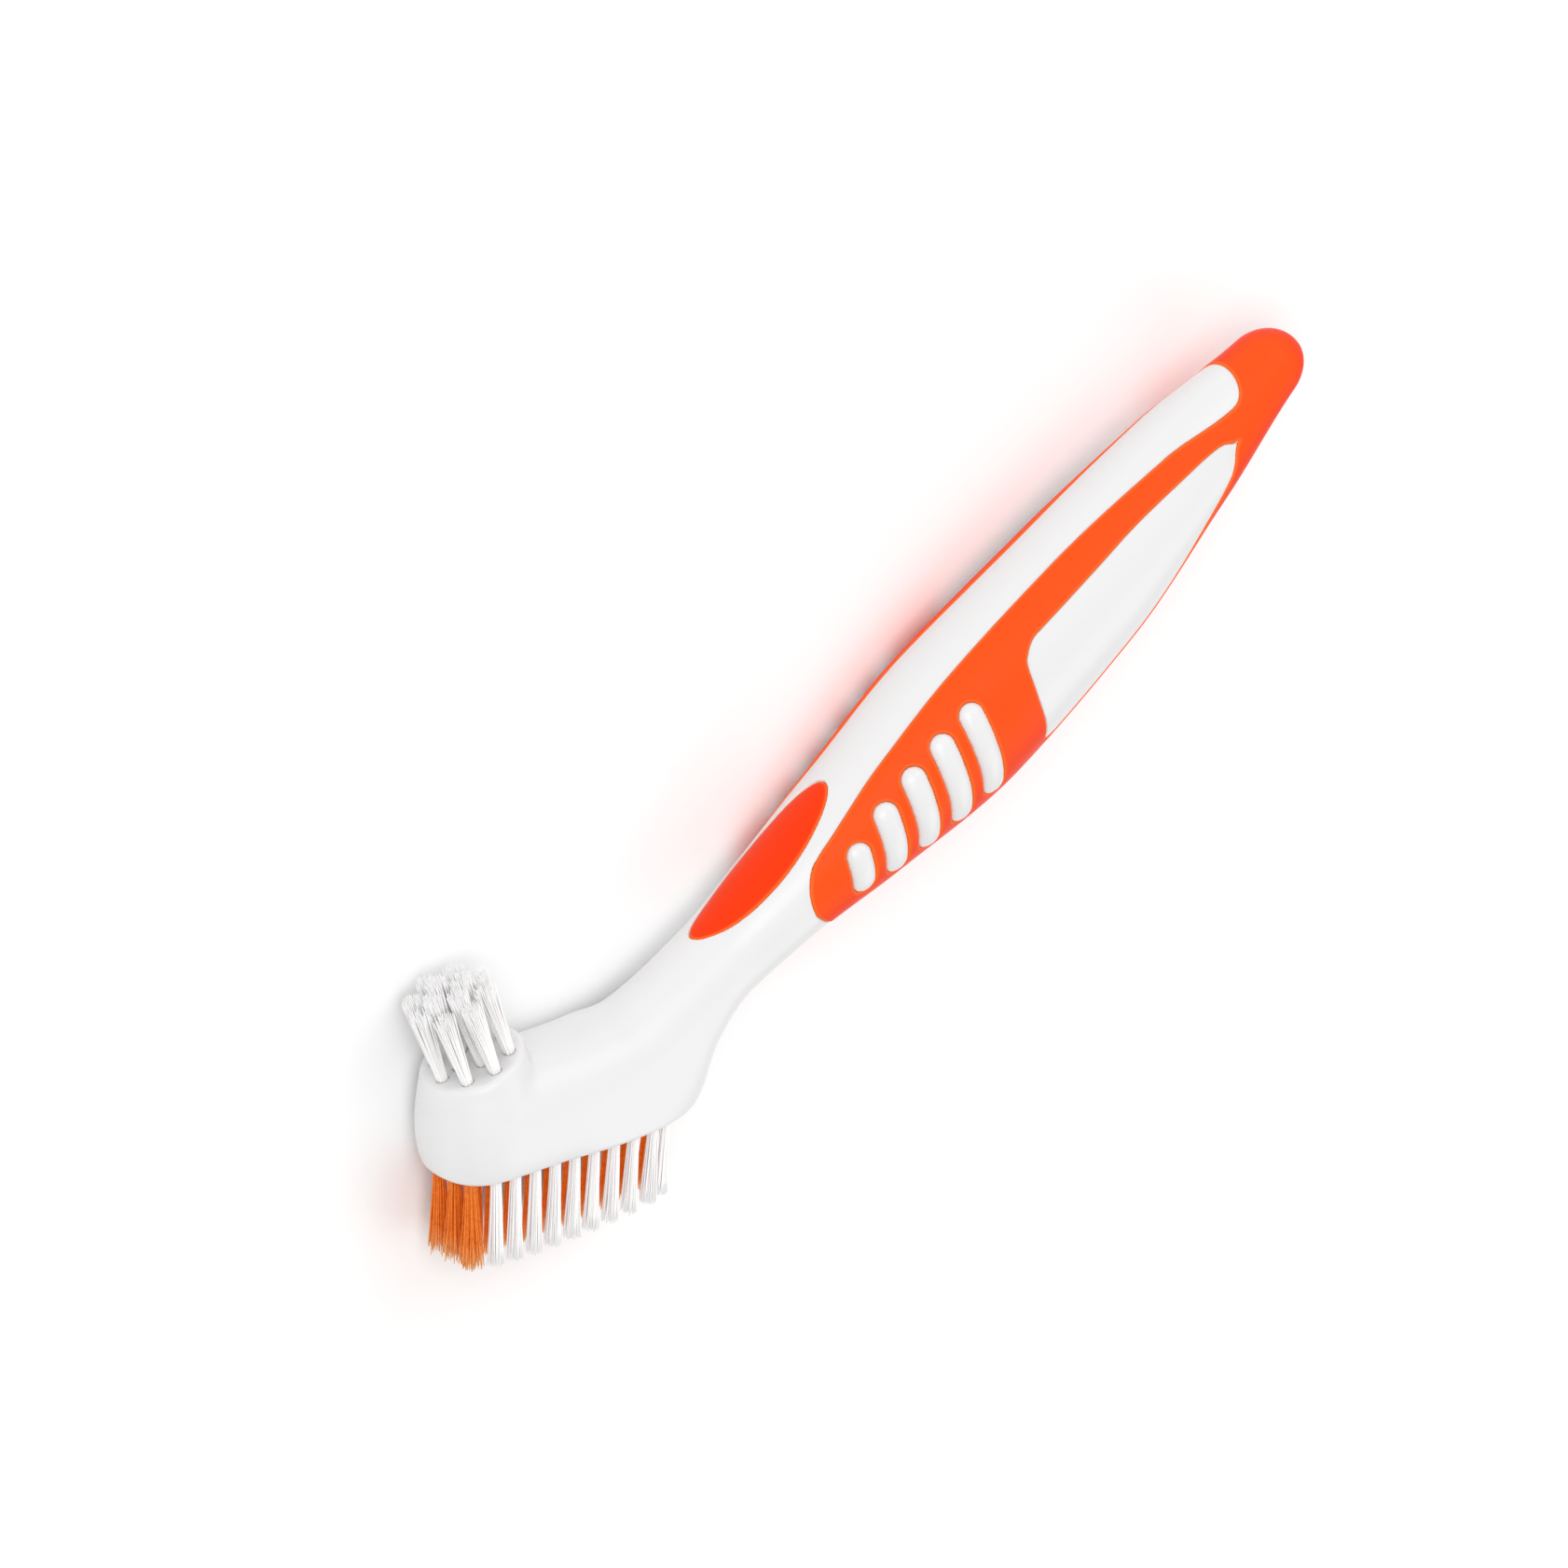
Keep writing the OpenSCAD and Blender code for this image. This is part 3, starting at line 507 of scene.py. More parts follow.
    def skin(self, t, q):
        """Points of the hard skin: the loft, with the boss blended into the back of the head."""
        side, height = self.rim(t, q)
        p = self.at(t, height, side)
        head = self.head
        near = np.flatnonzero((t < self.t_bend + BOSS_BEHIND) & (np.abs(q) < BOSS_ROUND))
        if len(near):
            x, y, _ = self.middle(np.maximum(t[near], head.nose_run))
            centre = np.stack([x, y, 0 * x], axis=-1)
            way = unit(p[near] - centre)
            plain = np.linalg.norm(p[near] - centre, axis=-1)
            reach = self.boss_reach(centre, way)
            k = head.boss_blend
            blend = np.maximum(k - np.abs(plain - reach), 0) ** 2 / (4 * k)
            over = np.clip((p[near, 1] - head.face_drop - head.boss_foot) / BLEND_RISE, 0, 1)
            blend = blend * over**2 * (3 - 2 * over)
            p[near] = centre + way * (np.maximum(plain, reach) + blend)[:, None]
        return p

    def boss_reach(self, centre, way):
        """Distance from centre to where the ray along way leaves the boss, or 0."""
        steps = np.linspace(0, SEARCH_REACH, SEARCH_STEPS)
        inside = np.stack([self.in_boss(centre + way * s) for s in steps])
        last = len(steps) - 1 - np.argmax(inside[::-1], axis=0)
        hit = inside.any(axis=0)
        low, high = steps[last], steps[np.minimum(last + 1, len(steps) - 1)]
        for _ in range(SEARCH_HALVINGS):
            middle = (low + high) / 2
            within = self.in_boss(centre + way * middle[:, None])
            low, high = np.where(within, middle, low), np.where(within, high, middle)
        return np.where(hit, low, 0)

    def strip_edge(self, t):
        """Angle at which the grip begins beside the white strip on the back."""
        grip = self.grip
        share_along = (t - self.grip_front) / (self.strip_end - self.grip_front)
        nose = rounding(t - self.grip_front, grip.nose, 2)
        tail = rounding(self.strip_end - t, grip.strip_round, 2)
        edge = (NOSE_MIDDLE - (NOSE_MIDDLE - curve(*STRIP_EDGE, share_along)) * nose) * tail
        return np.where(t >= self.strip_end, -1, edge)

    def keel_edge(self, t):
        """Angle at which the grip ends on the underside of its front."""
        grip = self.grip
        behind = np.clip((t - self.grip_front) / grip.nose, 0, 1)
        edge = NOSE_MIDDLE + (180 - NOSE_MIDDLE) * behind**KEEL_POWER
        return np.where(behind >= 1, 181, edge)

    def rib_path(self, i, s):
        """Stations and angles along rib i, with s from -1 to 1."""
        grip = self.grip
        reach = RIB_REACH[i + len(RIB_REACH) - grip.rib_count]
        lean = grip.rib_lean * reach / max(RIB_REACH) / 2
        t = self.t_handle + grip.rib_setback + i * grip.rib_pitch - s * lean
        return t, grip.rib_middle + s * reach

    def set_borders(self):
        """Lines on the skin that the colours meet at."""
        shares = self.dense_ends(BORDER_POINTS)
        along = (self.grip_front + (self.strip_end - self.grip_front) * shares)[::-1]
        nose = self.grip_front + self.grip.nose * np.linspace(0, 1, NOSE_POINTS) ** NOSE_SPACING
        keel = np.minimum(self.keel_edge(nose), 180)
        q = np.concatenate([self.strip_edge(along - 1e-6), keel])
        self.grip_line = self.skin(np.concatenate([along, nose]), q)
        shares = self.dense_ends(WINDOW_POINTS)
        t = self.window_front + (self.window_rear - self.window_front) * shares
        top, keel = curve(*WINDOW_TOP, shares), curve(*WINDOW_KEEL, shares)
        there_and_back = np.concatenate([t, t[::-1]])
        self.window_line = self.skin(there_and_back, np.concatenate([top, keel[::-1]]))
        s = np.linspace(-1, 1, RIB_POINTS)
        paths = [self.rib_path(i, s) for i in range(self.grip.rib_count)]
        self.rib_lines = [self.skin(t, q) for t, q in paths]
        turn = np.linspace(0, 2 * math.pi, PAD_POINTS)
        t = self.pad_mid + self.grip.pad_len / 2 * np.cos(turn)
        z = self.grip.pad_w / 2 * np.sin(turn)
        self.pad_line = self.skin(t, self.back_angle(t, z))

    @staticmethod
    def dense_ends(number):
        """Shares from 0 to 1 that lie closer together at both ends."""
        return (1 - np.cos(np.linspace(0, math.pi, number))) / 2

    def back_angle(self, t, z):
        """Angle q at which the back of the section reaches z to the side."""
        w, _, _, above, _ = self.section(t)
        return np.sign(z) * np.degrees(np.arcsin(np.clip(np.abs(z) / w, 0, 1) ** (above / 2)))

    @staticmethod
    def folded(p):
        """Points with both sides of the brush folded onto one."""
        return p * [1, 1, 0] + np.abs(p) * [0, 0, 1]

    def fields(self, t, q, p):
        """Distances from the borders: above 0 in the orange grip, and above 0 in the thumb pad."""
        side = np.abs(q)
        folded = self.folded(p)
        orange = (side > self.strip_edge(t)) & (side < self.keel_edge(t)) & (t > self.grip_front)
        grip = np.where(orange, 1, -1) * line_distance(folded, self.grip_line)
        share_along = (t - self.window_front) / (self.window_rear - self.window_front)
        window = (share_along > 0) & (share_along < 1)
        window &= (side > curve(*WINDOW_TOP, share_along)) & (side < curve(*WINDOW_KEEL, share_along))
        grip = np.minimum(grip, np.where(window, -1, 1) * line_distance(folded, self.window_line))
        for line in self.rib_lines:
            grip = np.minimum(grip, line_distance(folded, line) - self.grip.rib_w / 2)
        across = p[:, 2] / (self.grip.pad_w / 2)
        along = (t - self.pad_mid) / (self.grip.pad_len / 2)
        in_pad = (across**2 + along**2 < 1) & (side < 90)
        pad = np.where(in_pad, 1, -1) * line_distance(p, self.pad_line)
        return grip, pad

    def rib_depth(self, p):
        """Distance inside the nearest rib's outline, 0 outside the ribs."""
        folded = self.folded(p)
        depths = [self.grip.rib_w / 2 - line_distance(folded, line) for line in self.rib_lines]
        return np.maximum(np.max(depths, axis=0), 0)

    def normals(self, t, q):
        """Outward directions of the skin."""
        inner = np.clip(t, NORMAL_STEP, self.t_tail - TIP_LENGTH)
        along = self.skin(inner + NORMAL_STEP, q) - self.skin(inner - NORMAL_STEP, q)
        round_it = self.skin(inner, q + NORMAL_TURN) - self.skin(inner, q - NORMAL_TURN)
        normal = unit(np.cross(round_it, along))
        _, _, a = self.middle(t)
        tip = np.stack([np.cos(a), np.sin(a), 0 * a], axis=-1)
        share_left = np.clip((self.t_tail - t) / TIP_LENGTH, 0, 1)[:, None]
        return unit(normal * share_left + tip * (1 - share_left))

    def set_rest(self):
        """Turn, tilt and shift that lay the brush on its side, read off nodes of the frame.

        The brush's middle plane runs midway between the two tufts and through the thumb pad.
        """
        x, y, _ = self.middle(np.array([0.0, self.t_tail]))
        self.lie_angle = math.atan2(y[1] - y[0], x[1] - x[0])
        self.lie_tilt = 0
        places = tuft_places(self)
        tufts = [places[name] for name in REST_TUFTS]
        tips = [np.array(root) + reach * np.array(aim) for root, aim, reach in tufts]
        tip = np.mean(tips, axis=0)
        flat_tip = self.turned(tip)
        _, up, _, _, _ = self.section(self.pad_mid)
        depth = self.grip.pad_recess + self.grip.pad_t / 2
        pad = self.turned(self.at(self.pad_mid, up - depth, 0.0))
        boxes = [[list(corner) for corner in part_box(name)] for name in REST_TUFTS]
        low, high = np.mean(boxes, axis=0) / MM
        pad_low, pad_high = (np.array(corner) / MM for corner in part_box("thumb_pad"))
        rise = (pad_low[2] + pad_high[2] - low[2] - high[2]) / 2
        self.lie_tilt = math.asin(rise / (pad[0] - flat_tip[0]))
        tip = self.turned(tip)
        aim = np.array(tufts[0][1])
        spread = self.bristles.tip_r * np.sqrt(1 - self.turned(aim) ** 2)
        self.shift = np.array([
            low[0] - tip[0] + spread[0],
            low[1] - tip[1] + spread[1],
            (low[2] + high[2]) / 2 - tip[2],
        ])

    def turned(self, p):
        """Points turned about Z and tilted about Y into the lying position."""
        c, s = math.cos(self.lie_angle), math.sin(self.lie_angle)
        x, y, z = p[..., 0] * c + p[..., 1] * s, p[..., 1] * c - p[..., 0] * s, p[..., 2]
        c, s = math.cos(self.lie_tilt), math.sin(self.lie_tilt)
        return np.stack([x * c - z * s, y, z * c + x * s], axis=-1)

    def lie(self, p):
        """Points of the standing brush as they lie in the frame, in metres."""
        return (self.turned(p) + self.shift) * MM


def line_distance(p, line):
    """Distance of each point p from a line of short segments."""
    a, b = line[:-1], line[1:]
    span = b - a
    size = np.maximum((span**2).sum(axis=1), 1e-12)
    out = np.empty(len(p))
    block = 2048
    for first in range(0, len(p), block):
        rel = p[first:first + block, None, :] - a[None]
        along = np.clip((rel * span).sum(axis=2) / size, 0, 1)
        gap = rel - along[..., None] * span
        out[first:first + block] = np.sqrt((gap**2).sum(axis=2).min(axis=1))
    return out


def skin_grid(form):
    """Stations and angles of the skin's points and the triangles between them."""
    head, handle = form.head, form.handle
    front = head.nose_run * (1 - np.cos(np.linspace(0, math.pi / 2, FRONT_ROWS)))
    neck = np.linspace(head.nose_run, form.t_handle, NECK_ROWS)[1:]
    grip = np.linspace(form.t_handle, form.t_tail - handle.tail_round, GRIP_ROWS)[1:]
    quarter = np.linspace(0, math.pi / 2, TAIL_ROWS)
    tail = form.t_tail - handle.tail_round * (1 - np.sin(quarter))[1:]
    t = np.concatenate([front, neck, grip, tail])
    q = np.linspace(-180, 180, COLUMNS)
    tt, qq = np.meshgrid(t, q, indexing="ij")
    rows, columns = tt.shape
    i, j = np.meshgrid(np.arange(rows - 1), np.arange(columns - 1), indexing="ij")
    a = (i * columns + j).ravel()
    b, c, d = a + 1, a + columns, a + columns + 1
    tris = np.concatenate([np.stack([a, b, d], 1), np.stack([a, d, c], 1)])
    return tt.ravel(), qq.ravel(), tris


def crossings(tris, field):
    """Cuts the triangles where the field crosses 0.

    Gives the ends of each cut edge, the share at which it is cut, and the new triangles, whose
    new points are numbered after the old ones.
    """
    side = field > 0
    a = np.concatenate([tris[:, [0, 1]], tris[:, [1, 2]], tris[:, [2, 0]]])
    cut = side[a[:, 0]] != side[a[:, 1]]
    pairs, where = np.unique(np.sort(a[cut], axis=1), axis=0, return_inverse=True)
    one, two = pairs[:, 0], pairs[:, 1]
    share_cut = np.clip(field[one] / (field[one] - field[two]), CUT_MARGIN, 1 - CUT_MARGIN)
    point = np.full(len(a), -1)
    point[cut] = len(field) + where.ravel()
    point = point.reshape(3, len(tris)).T
    kept = [tris[(point < 0).all(axis=1)]]
    for k in range(3):
        chosen = (point[:, k] >= 0) & (point[:, (k + 2) % 3] >= 0)
        apex, right, left = (tris[chosen, (k + m) % 3] for m in range(3))
        p, r = point[chosen, k], point[chosen, (k + 2) % 3]
        kept += [np.stack(c, 1) for c in ([apex, p, r], [p, right, left], [p, left, r])]
    return one, two, share_cut, np.concatenate(kept)


class Skin:
    """The skin's points, their distances from the borders of the colours, and its triangles.

    The triangles are cut along the borders, along the edge of the bristle face and round the
    boss's face, so that each of them lies on one side.
    """

    def __init__(self, form):
        self.form = form
        self.t, self.q, self.tris = skin_grid(form)
        self.p = form.skin(self.t, self.q)
        self.grip, self.pad = form.fields(self.t, self.q, self.p)
        for level in RIM_LEVELS:
            self.cut(self.grip - level)
        for level in PAD_LEVELS:
            self.cut(self.pad - level)
        for level in FACE_LEVELS:
            before = len(self.p)
            self.cut(self.p[:, 1] - level * form.head.edge)
        # The last cut's points lie on the face itself.
        self.p[before:, 1] = 0
        for level in BOSS_LEVELS:
            height, radius = form.boss_place(self.p)
            inside = radius - form.head.boss_r + level * form.head.boss_edge
            self.cut(np.maximum(inside, -BOSS_STEEP * height - BOSS_STEEP))
        self.normal = form.normals(self.t, self.q)

    def cut(self, field):
        """Cuts the triangles where the field crosses 0."""
        one, two, share_cut, self.tris = crossings(self.tris, field)
        t = self.t[one] + (self.t[two] - self.t[one]) * share_cut
        q = self.q[one] + (self.q[two] - self.q[one]) * share_cut
        p = self.form.skin(t, q)
        grip, pad = self.form.fields(t, q, p)
        self.t, self.q = np.concatenate([self.t, t]), np.concatenate([self.q, q])
        self.p = np.concatenate([self.p, p])
        self.grip, self.pad = np.concatenate([self.grip, grip]), np.concatenate([self.pad, pad])


SKINS = {}


def cut_skin(form):
    """The cut skin of a form, made once for each set of sizes."""
    if form.key() not in SKINS:
        SKINS.clear()
        SKINS[form.key()] = Skin(form)
    return SKINS[form.key()]


def edge_round(d, r):
    """Drop of a rounded edge of radius r at distance d inside it."""
    return r - np.sqrt(np.maximum(r**2 - np.clip(r - d, 0, r) ** 2, 0))


# The hard body's edge beside the soft pieces, its wall there, and the depth at which a rib begins.
HARD_EDGE = 0.12
WALL_WIDTH = 0.03
RIB_SUNK = 0.3

# The finger dish: its place behind the last rib and its length, then its angle and its spread.
DISH_BEHIND = 3.6
DISH_LENGTH = 1.7
DISH_ANGLE = 72
DISH_SPREAD = 24

# The thumb pad's crown: its rise, the distance over which it rises, and the radius of its edge.
CROWN_RISE = 0.25
CROWN_RUN = 1.2
CROWN_EDGE = 0.25


def hard_height(form, grip, pad, p):
    """Height of the hard body over the plain skin, from the distances to the borders."""
    g = form.grip
    floor = np.where(grip > 0, -g.thick, 0) + np.where(pad > 0, -g.pad_recess - g.pad_t, 0)
    border = np.maximum(grip, pad)
    round_off = -edge_round(np.maximum(-border, 0), HARD_EDGE)
    wall = np.clip(np.maximum(border, 0) / WALL_WIDTH, 0, 1)
    plain = np.where(border > 0, -HARD_EDGE + (floor + HARD_EDGE) * wall, round_off)
    depth = form.rib_depth(p)
    r = g.rib_w / 2
    dome = np.sqrt(np.maximum(1 - (1 - np.clip(depth / r, 0, 1)) ** 2, 0))
    rib = (g.rib_proud + RIB_SUNK) * dome - RIB_SUNK
    return np.where((depth > 0) & (border <= 0), rib, plain)


def soft_height(form, t, q, grip):
    """Height of the soft grip over the plain skin, with its rounded lip and the finger dish."""
    g = form.grip
    last_rib = form.t_handle + g.rib_setback + (g.rib_count - 1) * g.rib_pitch
    along = (t - last_rib - DISH_BEHIND) / DISH_LENGTH
    across = (np.abs(q) - DISH_ANGLE) / DISH_SPREAD
    return g.proud - edge_round(grip, g.lip) - g.dish * np.exp(-(along**2) - across**2)


def pad_height(grip, pad):
    """Height of the thumb pad over the plain skin, a low crown with a rounded edge."""
    crown = CROWN_RISE * (1 - np.exp(-np.maximum(pad, 0) / CROWN_RUN))
    return crown - edge_round(pad, CROWN_EDGE) - grip.pad_recess


def make_object(name, verts, tris, attributes=()):
    """An object at the origin from points in metres and faces, with numbers or vectors at points."""
    mesh = bpy.data.meshes.new(name)
    mesh.from_pydata(verts.tolist(), [], np.asarray(tris).tolist())
    for key, values in attributes:
        values = np.asarray(values, np.float32)
        kind, field = ("FLOAT_VECTOR", "vector") if values.ndim == 2 else ("FLOAT", "value")
        layer = mesh.attributes.new(key, kind, "POINT")
        layer.data.foreach_set(field, values.ravel())
    obj = bpy.data.objects.new(name, mesh)
    bpy.context.scene.collection.objects.link(obj)
    return obj


def weld(bm, gap_mm=0.004):
    """Merges doubled points and drops triangles with no area."""
    bmesh.ops.remove_doubles(bm, verts=bm.verts, dist=gap_mm * MM)
    bmesh.ops.dissolve_degenerate(bm, dist=gap_mm * MM / 4, edges=bm.edges)
    loose = [v for v in bm.verts if not v.link_faces]
    bmesh.ops.delete(bm, geom=loose, context="VERTS")


def smooth(obj, sharp_degrees=35):
    """Smooth shading with weighted normals, crisp at sharp edges."""
    mesh = obj.data
    mesh.shade_smooth()
    mesh.set_sharp_from_angle(angle=math.radians(sharp_degrees))
    weighted = obj.modifiers.new("Weighted normals", "WEIGHTED_NORMAL")
    weighted.keep_sharp = True
    weighted.weight = 60


def finish_piece(obj, slot, nodes, material):
    """Gives a piece its material and its place in the frame."""
    obj.data.materials.clear()
    obj.data.materials.append(material)
    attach(obj, BODY)
    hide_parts(*nodes)


# Sides of a tuft hole, and the middle of its rounded mouth as a share of the mouth's radius.
HOLE_SIDES = 20
MOUTH_MIDDLE = 0.3


def ring_points(centre, u, v, r):
    """Points of a tuft hole's ring."""
    turn = np.linspace(0, 2 * math.pi, HOLE_SIDES, endpoint=False)
    return centre + r * (np.cos(turn)[:, None] * u + np.sin(turn)[:, None] * v)


def drill(bm, form, centre, axis, u, depth, edges):
    """A tuft hole: a rounded mouth, its wall and its floor. Adds the mouth's edges to edges."""
    v = np.cross(axis, u)
    b = form.bristles
    mouth = b.hole_edge
    middle = MOUTH_MIDDLE * mouth
    profile = [(b.hole_r + mouth, 0), (b.hole_r + middle, middle), (b.hole_r, mouth), (b.hole_r, depth)]
    rings = [
        [bm.verts.new(p) for p in form.lie(ring_points(centre - axis * down, u, v, r))]
        for r, down in profile
    ]
    for upper, lower in zip(rings, rings[1:]):
        for k in range(HOLE_SIDES):
            after = (k + 1) % HOLE_SIDES
            bm.faces.new([upper[k], upper[after], lower[after], lower[k]])
    bm.faces.new(rings[-1])
    for k in range(HOLE_SIDES):
        edges.append(bm.edges.get((rings[0][k], rings[0][(k + 1) % HOLE_SIDES])))


def cap_with_holes(bm, form, loop, holes, axis, u):
    """Fills a flat loop of edges, with a tuft hole at each place."""
    edges = list(loop)
    axis, u = np.array(axis), np.array(u)
    for centre in holes:
        drill(bm, form, np.array(centre), axis, u, form.bristles.hole_depth, edges)
    bmesh.ops.triangle_fill(bm, edges=edges, use_beauty=True)


FRONT_TUFTS = 3

# The ring's tufts splay this many times as much as the small brush's centre tufts.
SPLAY_RATIO = 3


def tuft_places(form):
    """Roots, directions, lengths and names of all the tufts, in the standing brush's frame."""
    b = form.bristles
    last = b.outer_first + (b.row_count - 1) * b.pitch
    places = {}

    def add(name, x, z, behind=0):
        back = (x - b.front_first) / (last - b.front_first)
        lean = math.radians(b.rear_lean) * back
        reach = b.front_len + (b.rear_len - b.front_len) * back
        along = max(0, (x - b.outer_first) / (last - b.outer_first))
        reach += 4 * b.middle_more * along * (1 - along)
        places[name] = ((x + behind, 0, z), (-math.sin(lean), -math.cos(lean), 0), reach)

    rows = {
        "left_tuft": (b.outer_row, 0),
        "right_tuft": (-b.outer_row, 0),
        "inner_left_tuft": (b.inner_row, b.pitch / 2),
        "inner_right_tuft": (-b.inner_row, b.pitch / 2),
    }
    for row, (z, ahead) in rows.items():
        for k in range(b.row_count):
            add(f"{row}_{k + 1}", b.outer_first - ahead + k * b.pitch, z)
    for side, z in (("left", b.corner_row), ("right", -b.corner_row)):
        add(f"{side}_tuft_{b.row_count}", last - b.corner_ahead, z)
    for k in range(FRONT_TUFTS):
        add(f"front_tuft_{k + 1}", b.front_first, (1 - k) * b.front_pitch, b.front_back)
    centre, axis = form.boss_axis()
    u = np.array([axis[1], -axis[0], 0])
    v = np.array([0, 0, -1.0])
    rings = [
        ("ring_tuft", b.ring_count, b.ring_r, b.ring_splay, b.small_len - b.small_dome),
        ("centre_tuft", b.core_count, b.core_r, b.ring_splay / SPLAY_RATIO, b.small_len),
    ]
    for name, number, r, splay, reach in rings:
        for k in range(number):
            turn = 2 * math.pi * (k + 1) / number
            out = math.cos(turn) * u + math.sin(turn) * v
            tilt = math.radians(splay)
            aim = math.sin(tilt) * out + math.cos(tilt) * axis
            places[f"{name}_{k + 1}"] = (tuple(centre + r * out), tuple(aim), reach)
    return places


# Margins in millimetres round the skin that the two flat faces take the place of.
FACE_MARGIN = 1e-4
BOSS_SKIN = 0.02
BOSS_MARGIN = 0.001
SMALL_BRUSH = ("ring", "centre")


class BRUSH_OT_body(bpy.types.Operator):
    """Build the hard white body with its ribs, windows, strip and tuft holes"""

    bl_idname = "brush.body"
    bl_label = "Hard body"

    def execute(self, context):
        form = Form(context.scene)
        skin = cut_skin(form)
        p, tris = skin.p, skin.tris
        points = p + skin.normal * hard_height(form, skin.grip, skin.pad, p)[:, None]
        low = points[:, 1] < form.head.edge
        flat = unit(skin.normal * [1, 0, 1])
        inset = edge_round(np.maximum(points[:, 1], 0), form.head.edge)
        points = np.where(low[:, None], points - flat * inset[:, None], points)
        height, radius = form.boss_place(p)
        face_r = form.head.boss_r - form.head.boss_edge
        on_boss = (height > -BOSS_SKIN) & (radius < face_r - BOSS_MARGIN)
        drop = (p[:, 1] < -FACE_MARGIN) | on_boss
        kept = tris[~drop[tris].any(axis=1)]
        obj = make_object("brush_body_skin", form.lie(points), kept)
        self.close_faces(form, obj)
        smooth(obj)
        material = white_plastic(context.scene.brush_finish)
        finish_piece(obj, "white_plastic", ["brush_body"], material)
        return {"FINISHED"}

    def close_faces(self, form, obj):
        """Closes the bristle face and the boss's face, with their tuft holes."""
        bm = bmesh.new()
        bm.from_mesh(obj.data)
        weld(bm)
        bmesh.ops.holes_fill(bm, edges=[e for e in bm.edges if e.is_boundary], sides=4)
        loops = self.open_loops(bm)
        stray = {f for loop in loops[2:] for e in loop for f in e.link_faces}
        bmesh.ops.delete(bm, geom=list(stray), context="FACES")
        places = tuft_places(form)
        centre, axis = form.boss_axis()
        middle = Vector(form.lie(centre))

        def boss_gap(loop):
            return min((v.co - middle).length for e in loop for v in e.verts)

        loops = sorted(loops[:2], key=boss_gap)
        on_boss = [p[0] for name, p in places.items() if name.startswith(SMALL_BRUSH)]
        on_face = [p[0] for name, p in places.items() if not name.startswith(SMALL_BRUSH)]
        cap_with_holes(bm, form, loops[0], on_boss, axis, (0, 0, 1))
        cap_with_holes(bm, form, loops[1], on_face, (0, -1, 0), (0, 0, 1))
        bmesh.ops.recalc_face_normals(bm, faces=bm.faces)
        bm.to_mesh(obj.data)
        bm.free()

    def open_loops(self, bm):
        """Connected sets of open edges, the longest first."""
        open_edges = {e for e in bm.edges if e.is_boundary}
        loops = []
        while open_edges:
            stack, loop = [open_edges.pop()], []
            while stack:
                e = stack.pop()
                loop.append(e)
                near = [x for v in e.verts for x in v.link_edges if x in open_edges]
                open_edges.difference_update(near)
                stack += near
            loops.append(loop)
        return sorted(loops, key=len, reverse=True)


# Distance in millimetres at which a point counts as on a border, and angle in degrees at the seam.
ON_BORDER = 1e-3
SEAM_MARGIN = 1e-6


def shell_piece(form, name, skin, inside, top, bottom):
    """A closed piece between two heights over the skin, where inside is above 0."""
    tris = skin.tris
    corners = inside[tris]
    keep = tris[(corners > -ON_BORDER).all(axis=1) & (corners.max(axis=1) > ON_BORDER)]
    used, where = np.unique(keep, return_inverse=True)
    keep = where.reshape(keep.shape)
    p, normal = skin.p[used], skin.normal[used]
    upper = p + normal * top[used][:, None]
    lower = p + normal * bottom
    n = len(used)
    a = np.concatenate([keep[:, [0, 1]], keep[:, [1, 2]], keep[:, [2, 0]]])
    key = np.sort(a, axis=1)
    _, first, number = np.unique(key, axis=0, return_index=True, return_counts=True)
    border = a[first[number == 1]]
    seam = np.abs(np.abs(skin.q[used][border]) - 180).max(axis=1) < SEAM_MARGIN
    border = border[~seam]
    wall = np.concatenate([
        np.stack([border[:, 1], border[:, 0], border[:, 0] + n], 1),
        np.stack([border[:, 1], border[:, 0] + n, border[:, 1] + n], 1),
    ])
    tris = np.concatenate([keep, keep[:, ::-1] + n, wall])
    points = form.lie(np.concatenate([upper, lower]))
    obj = make_object(name, points, tris, [("rim", np.tile(inside[used], 2))])
    bm = bmesh.new()
    bm.from_mesh(obj.data)
    weld(bm)
    bmesh.ops.recalc_face_normals(bm, faces=bm.faces)
    bm.to_mesh(obj.data)
    bm.free()
    return obj


class BRUSH_OT_grip(bpy.types.Operator):
    """Build the orange soft grip with its rounded lip, and the thumb pad"""

    bl_idname = "brush.grip"
    bl_label = "Soft grip and thumb pad"

    def execute(self, context):
        form = Form(context.scene)
        skin = cut_skin(form)
        g = form.grip
        finish = context.scene.brush_finish
        material = orange_soft(finish, "Orange elastomer", finish.orange)
        pad_material = orange_soft(finish, "Orange pad elastomer", finish.pad)
        top = soft_height(form, skin.t, skin.q, skin.grip)
        obj = shell_piece(form, "soft_grip_skin", skin, skin.grip, top, -g.thick)
        smooth(obj)
        finish_piece(obj, "orange_rubber", ["soft_grip"], material)
        top = pad_height(g, skin.pad)
        obj = shell_piece(form, "thumb_pad_skin", skin, skin.pad, top, -g.pad_recess - g.pad_t)
        smooth(obj)
        finish_piece(obj, "orange_rubber", ["thumb_pad"], pad_material)
        return {"FINISHED"}


def feed(tree, socket, value):
    """Links an input to a socket or sets it to a value."""
    if isinstance(value, bpy.types.NodeSocket):
        tree.links.new(value, socket)
    elif socket.type == "RGBA":
        socket.default_value = (*value, 1)
    else:
        socket.default_value = value


def add_node(tree, kind, links=None, **settings):
    """Adds a node, sets it up and links or sets its inputs by name or number."""
    node = tree.nodes.new(kind)
    for key, value in settings.items():
        setattr(node, key, value)
    for key, source in (links or {}).items():
        feed(tree, node.inputs[key], source)
    return node


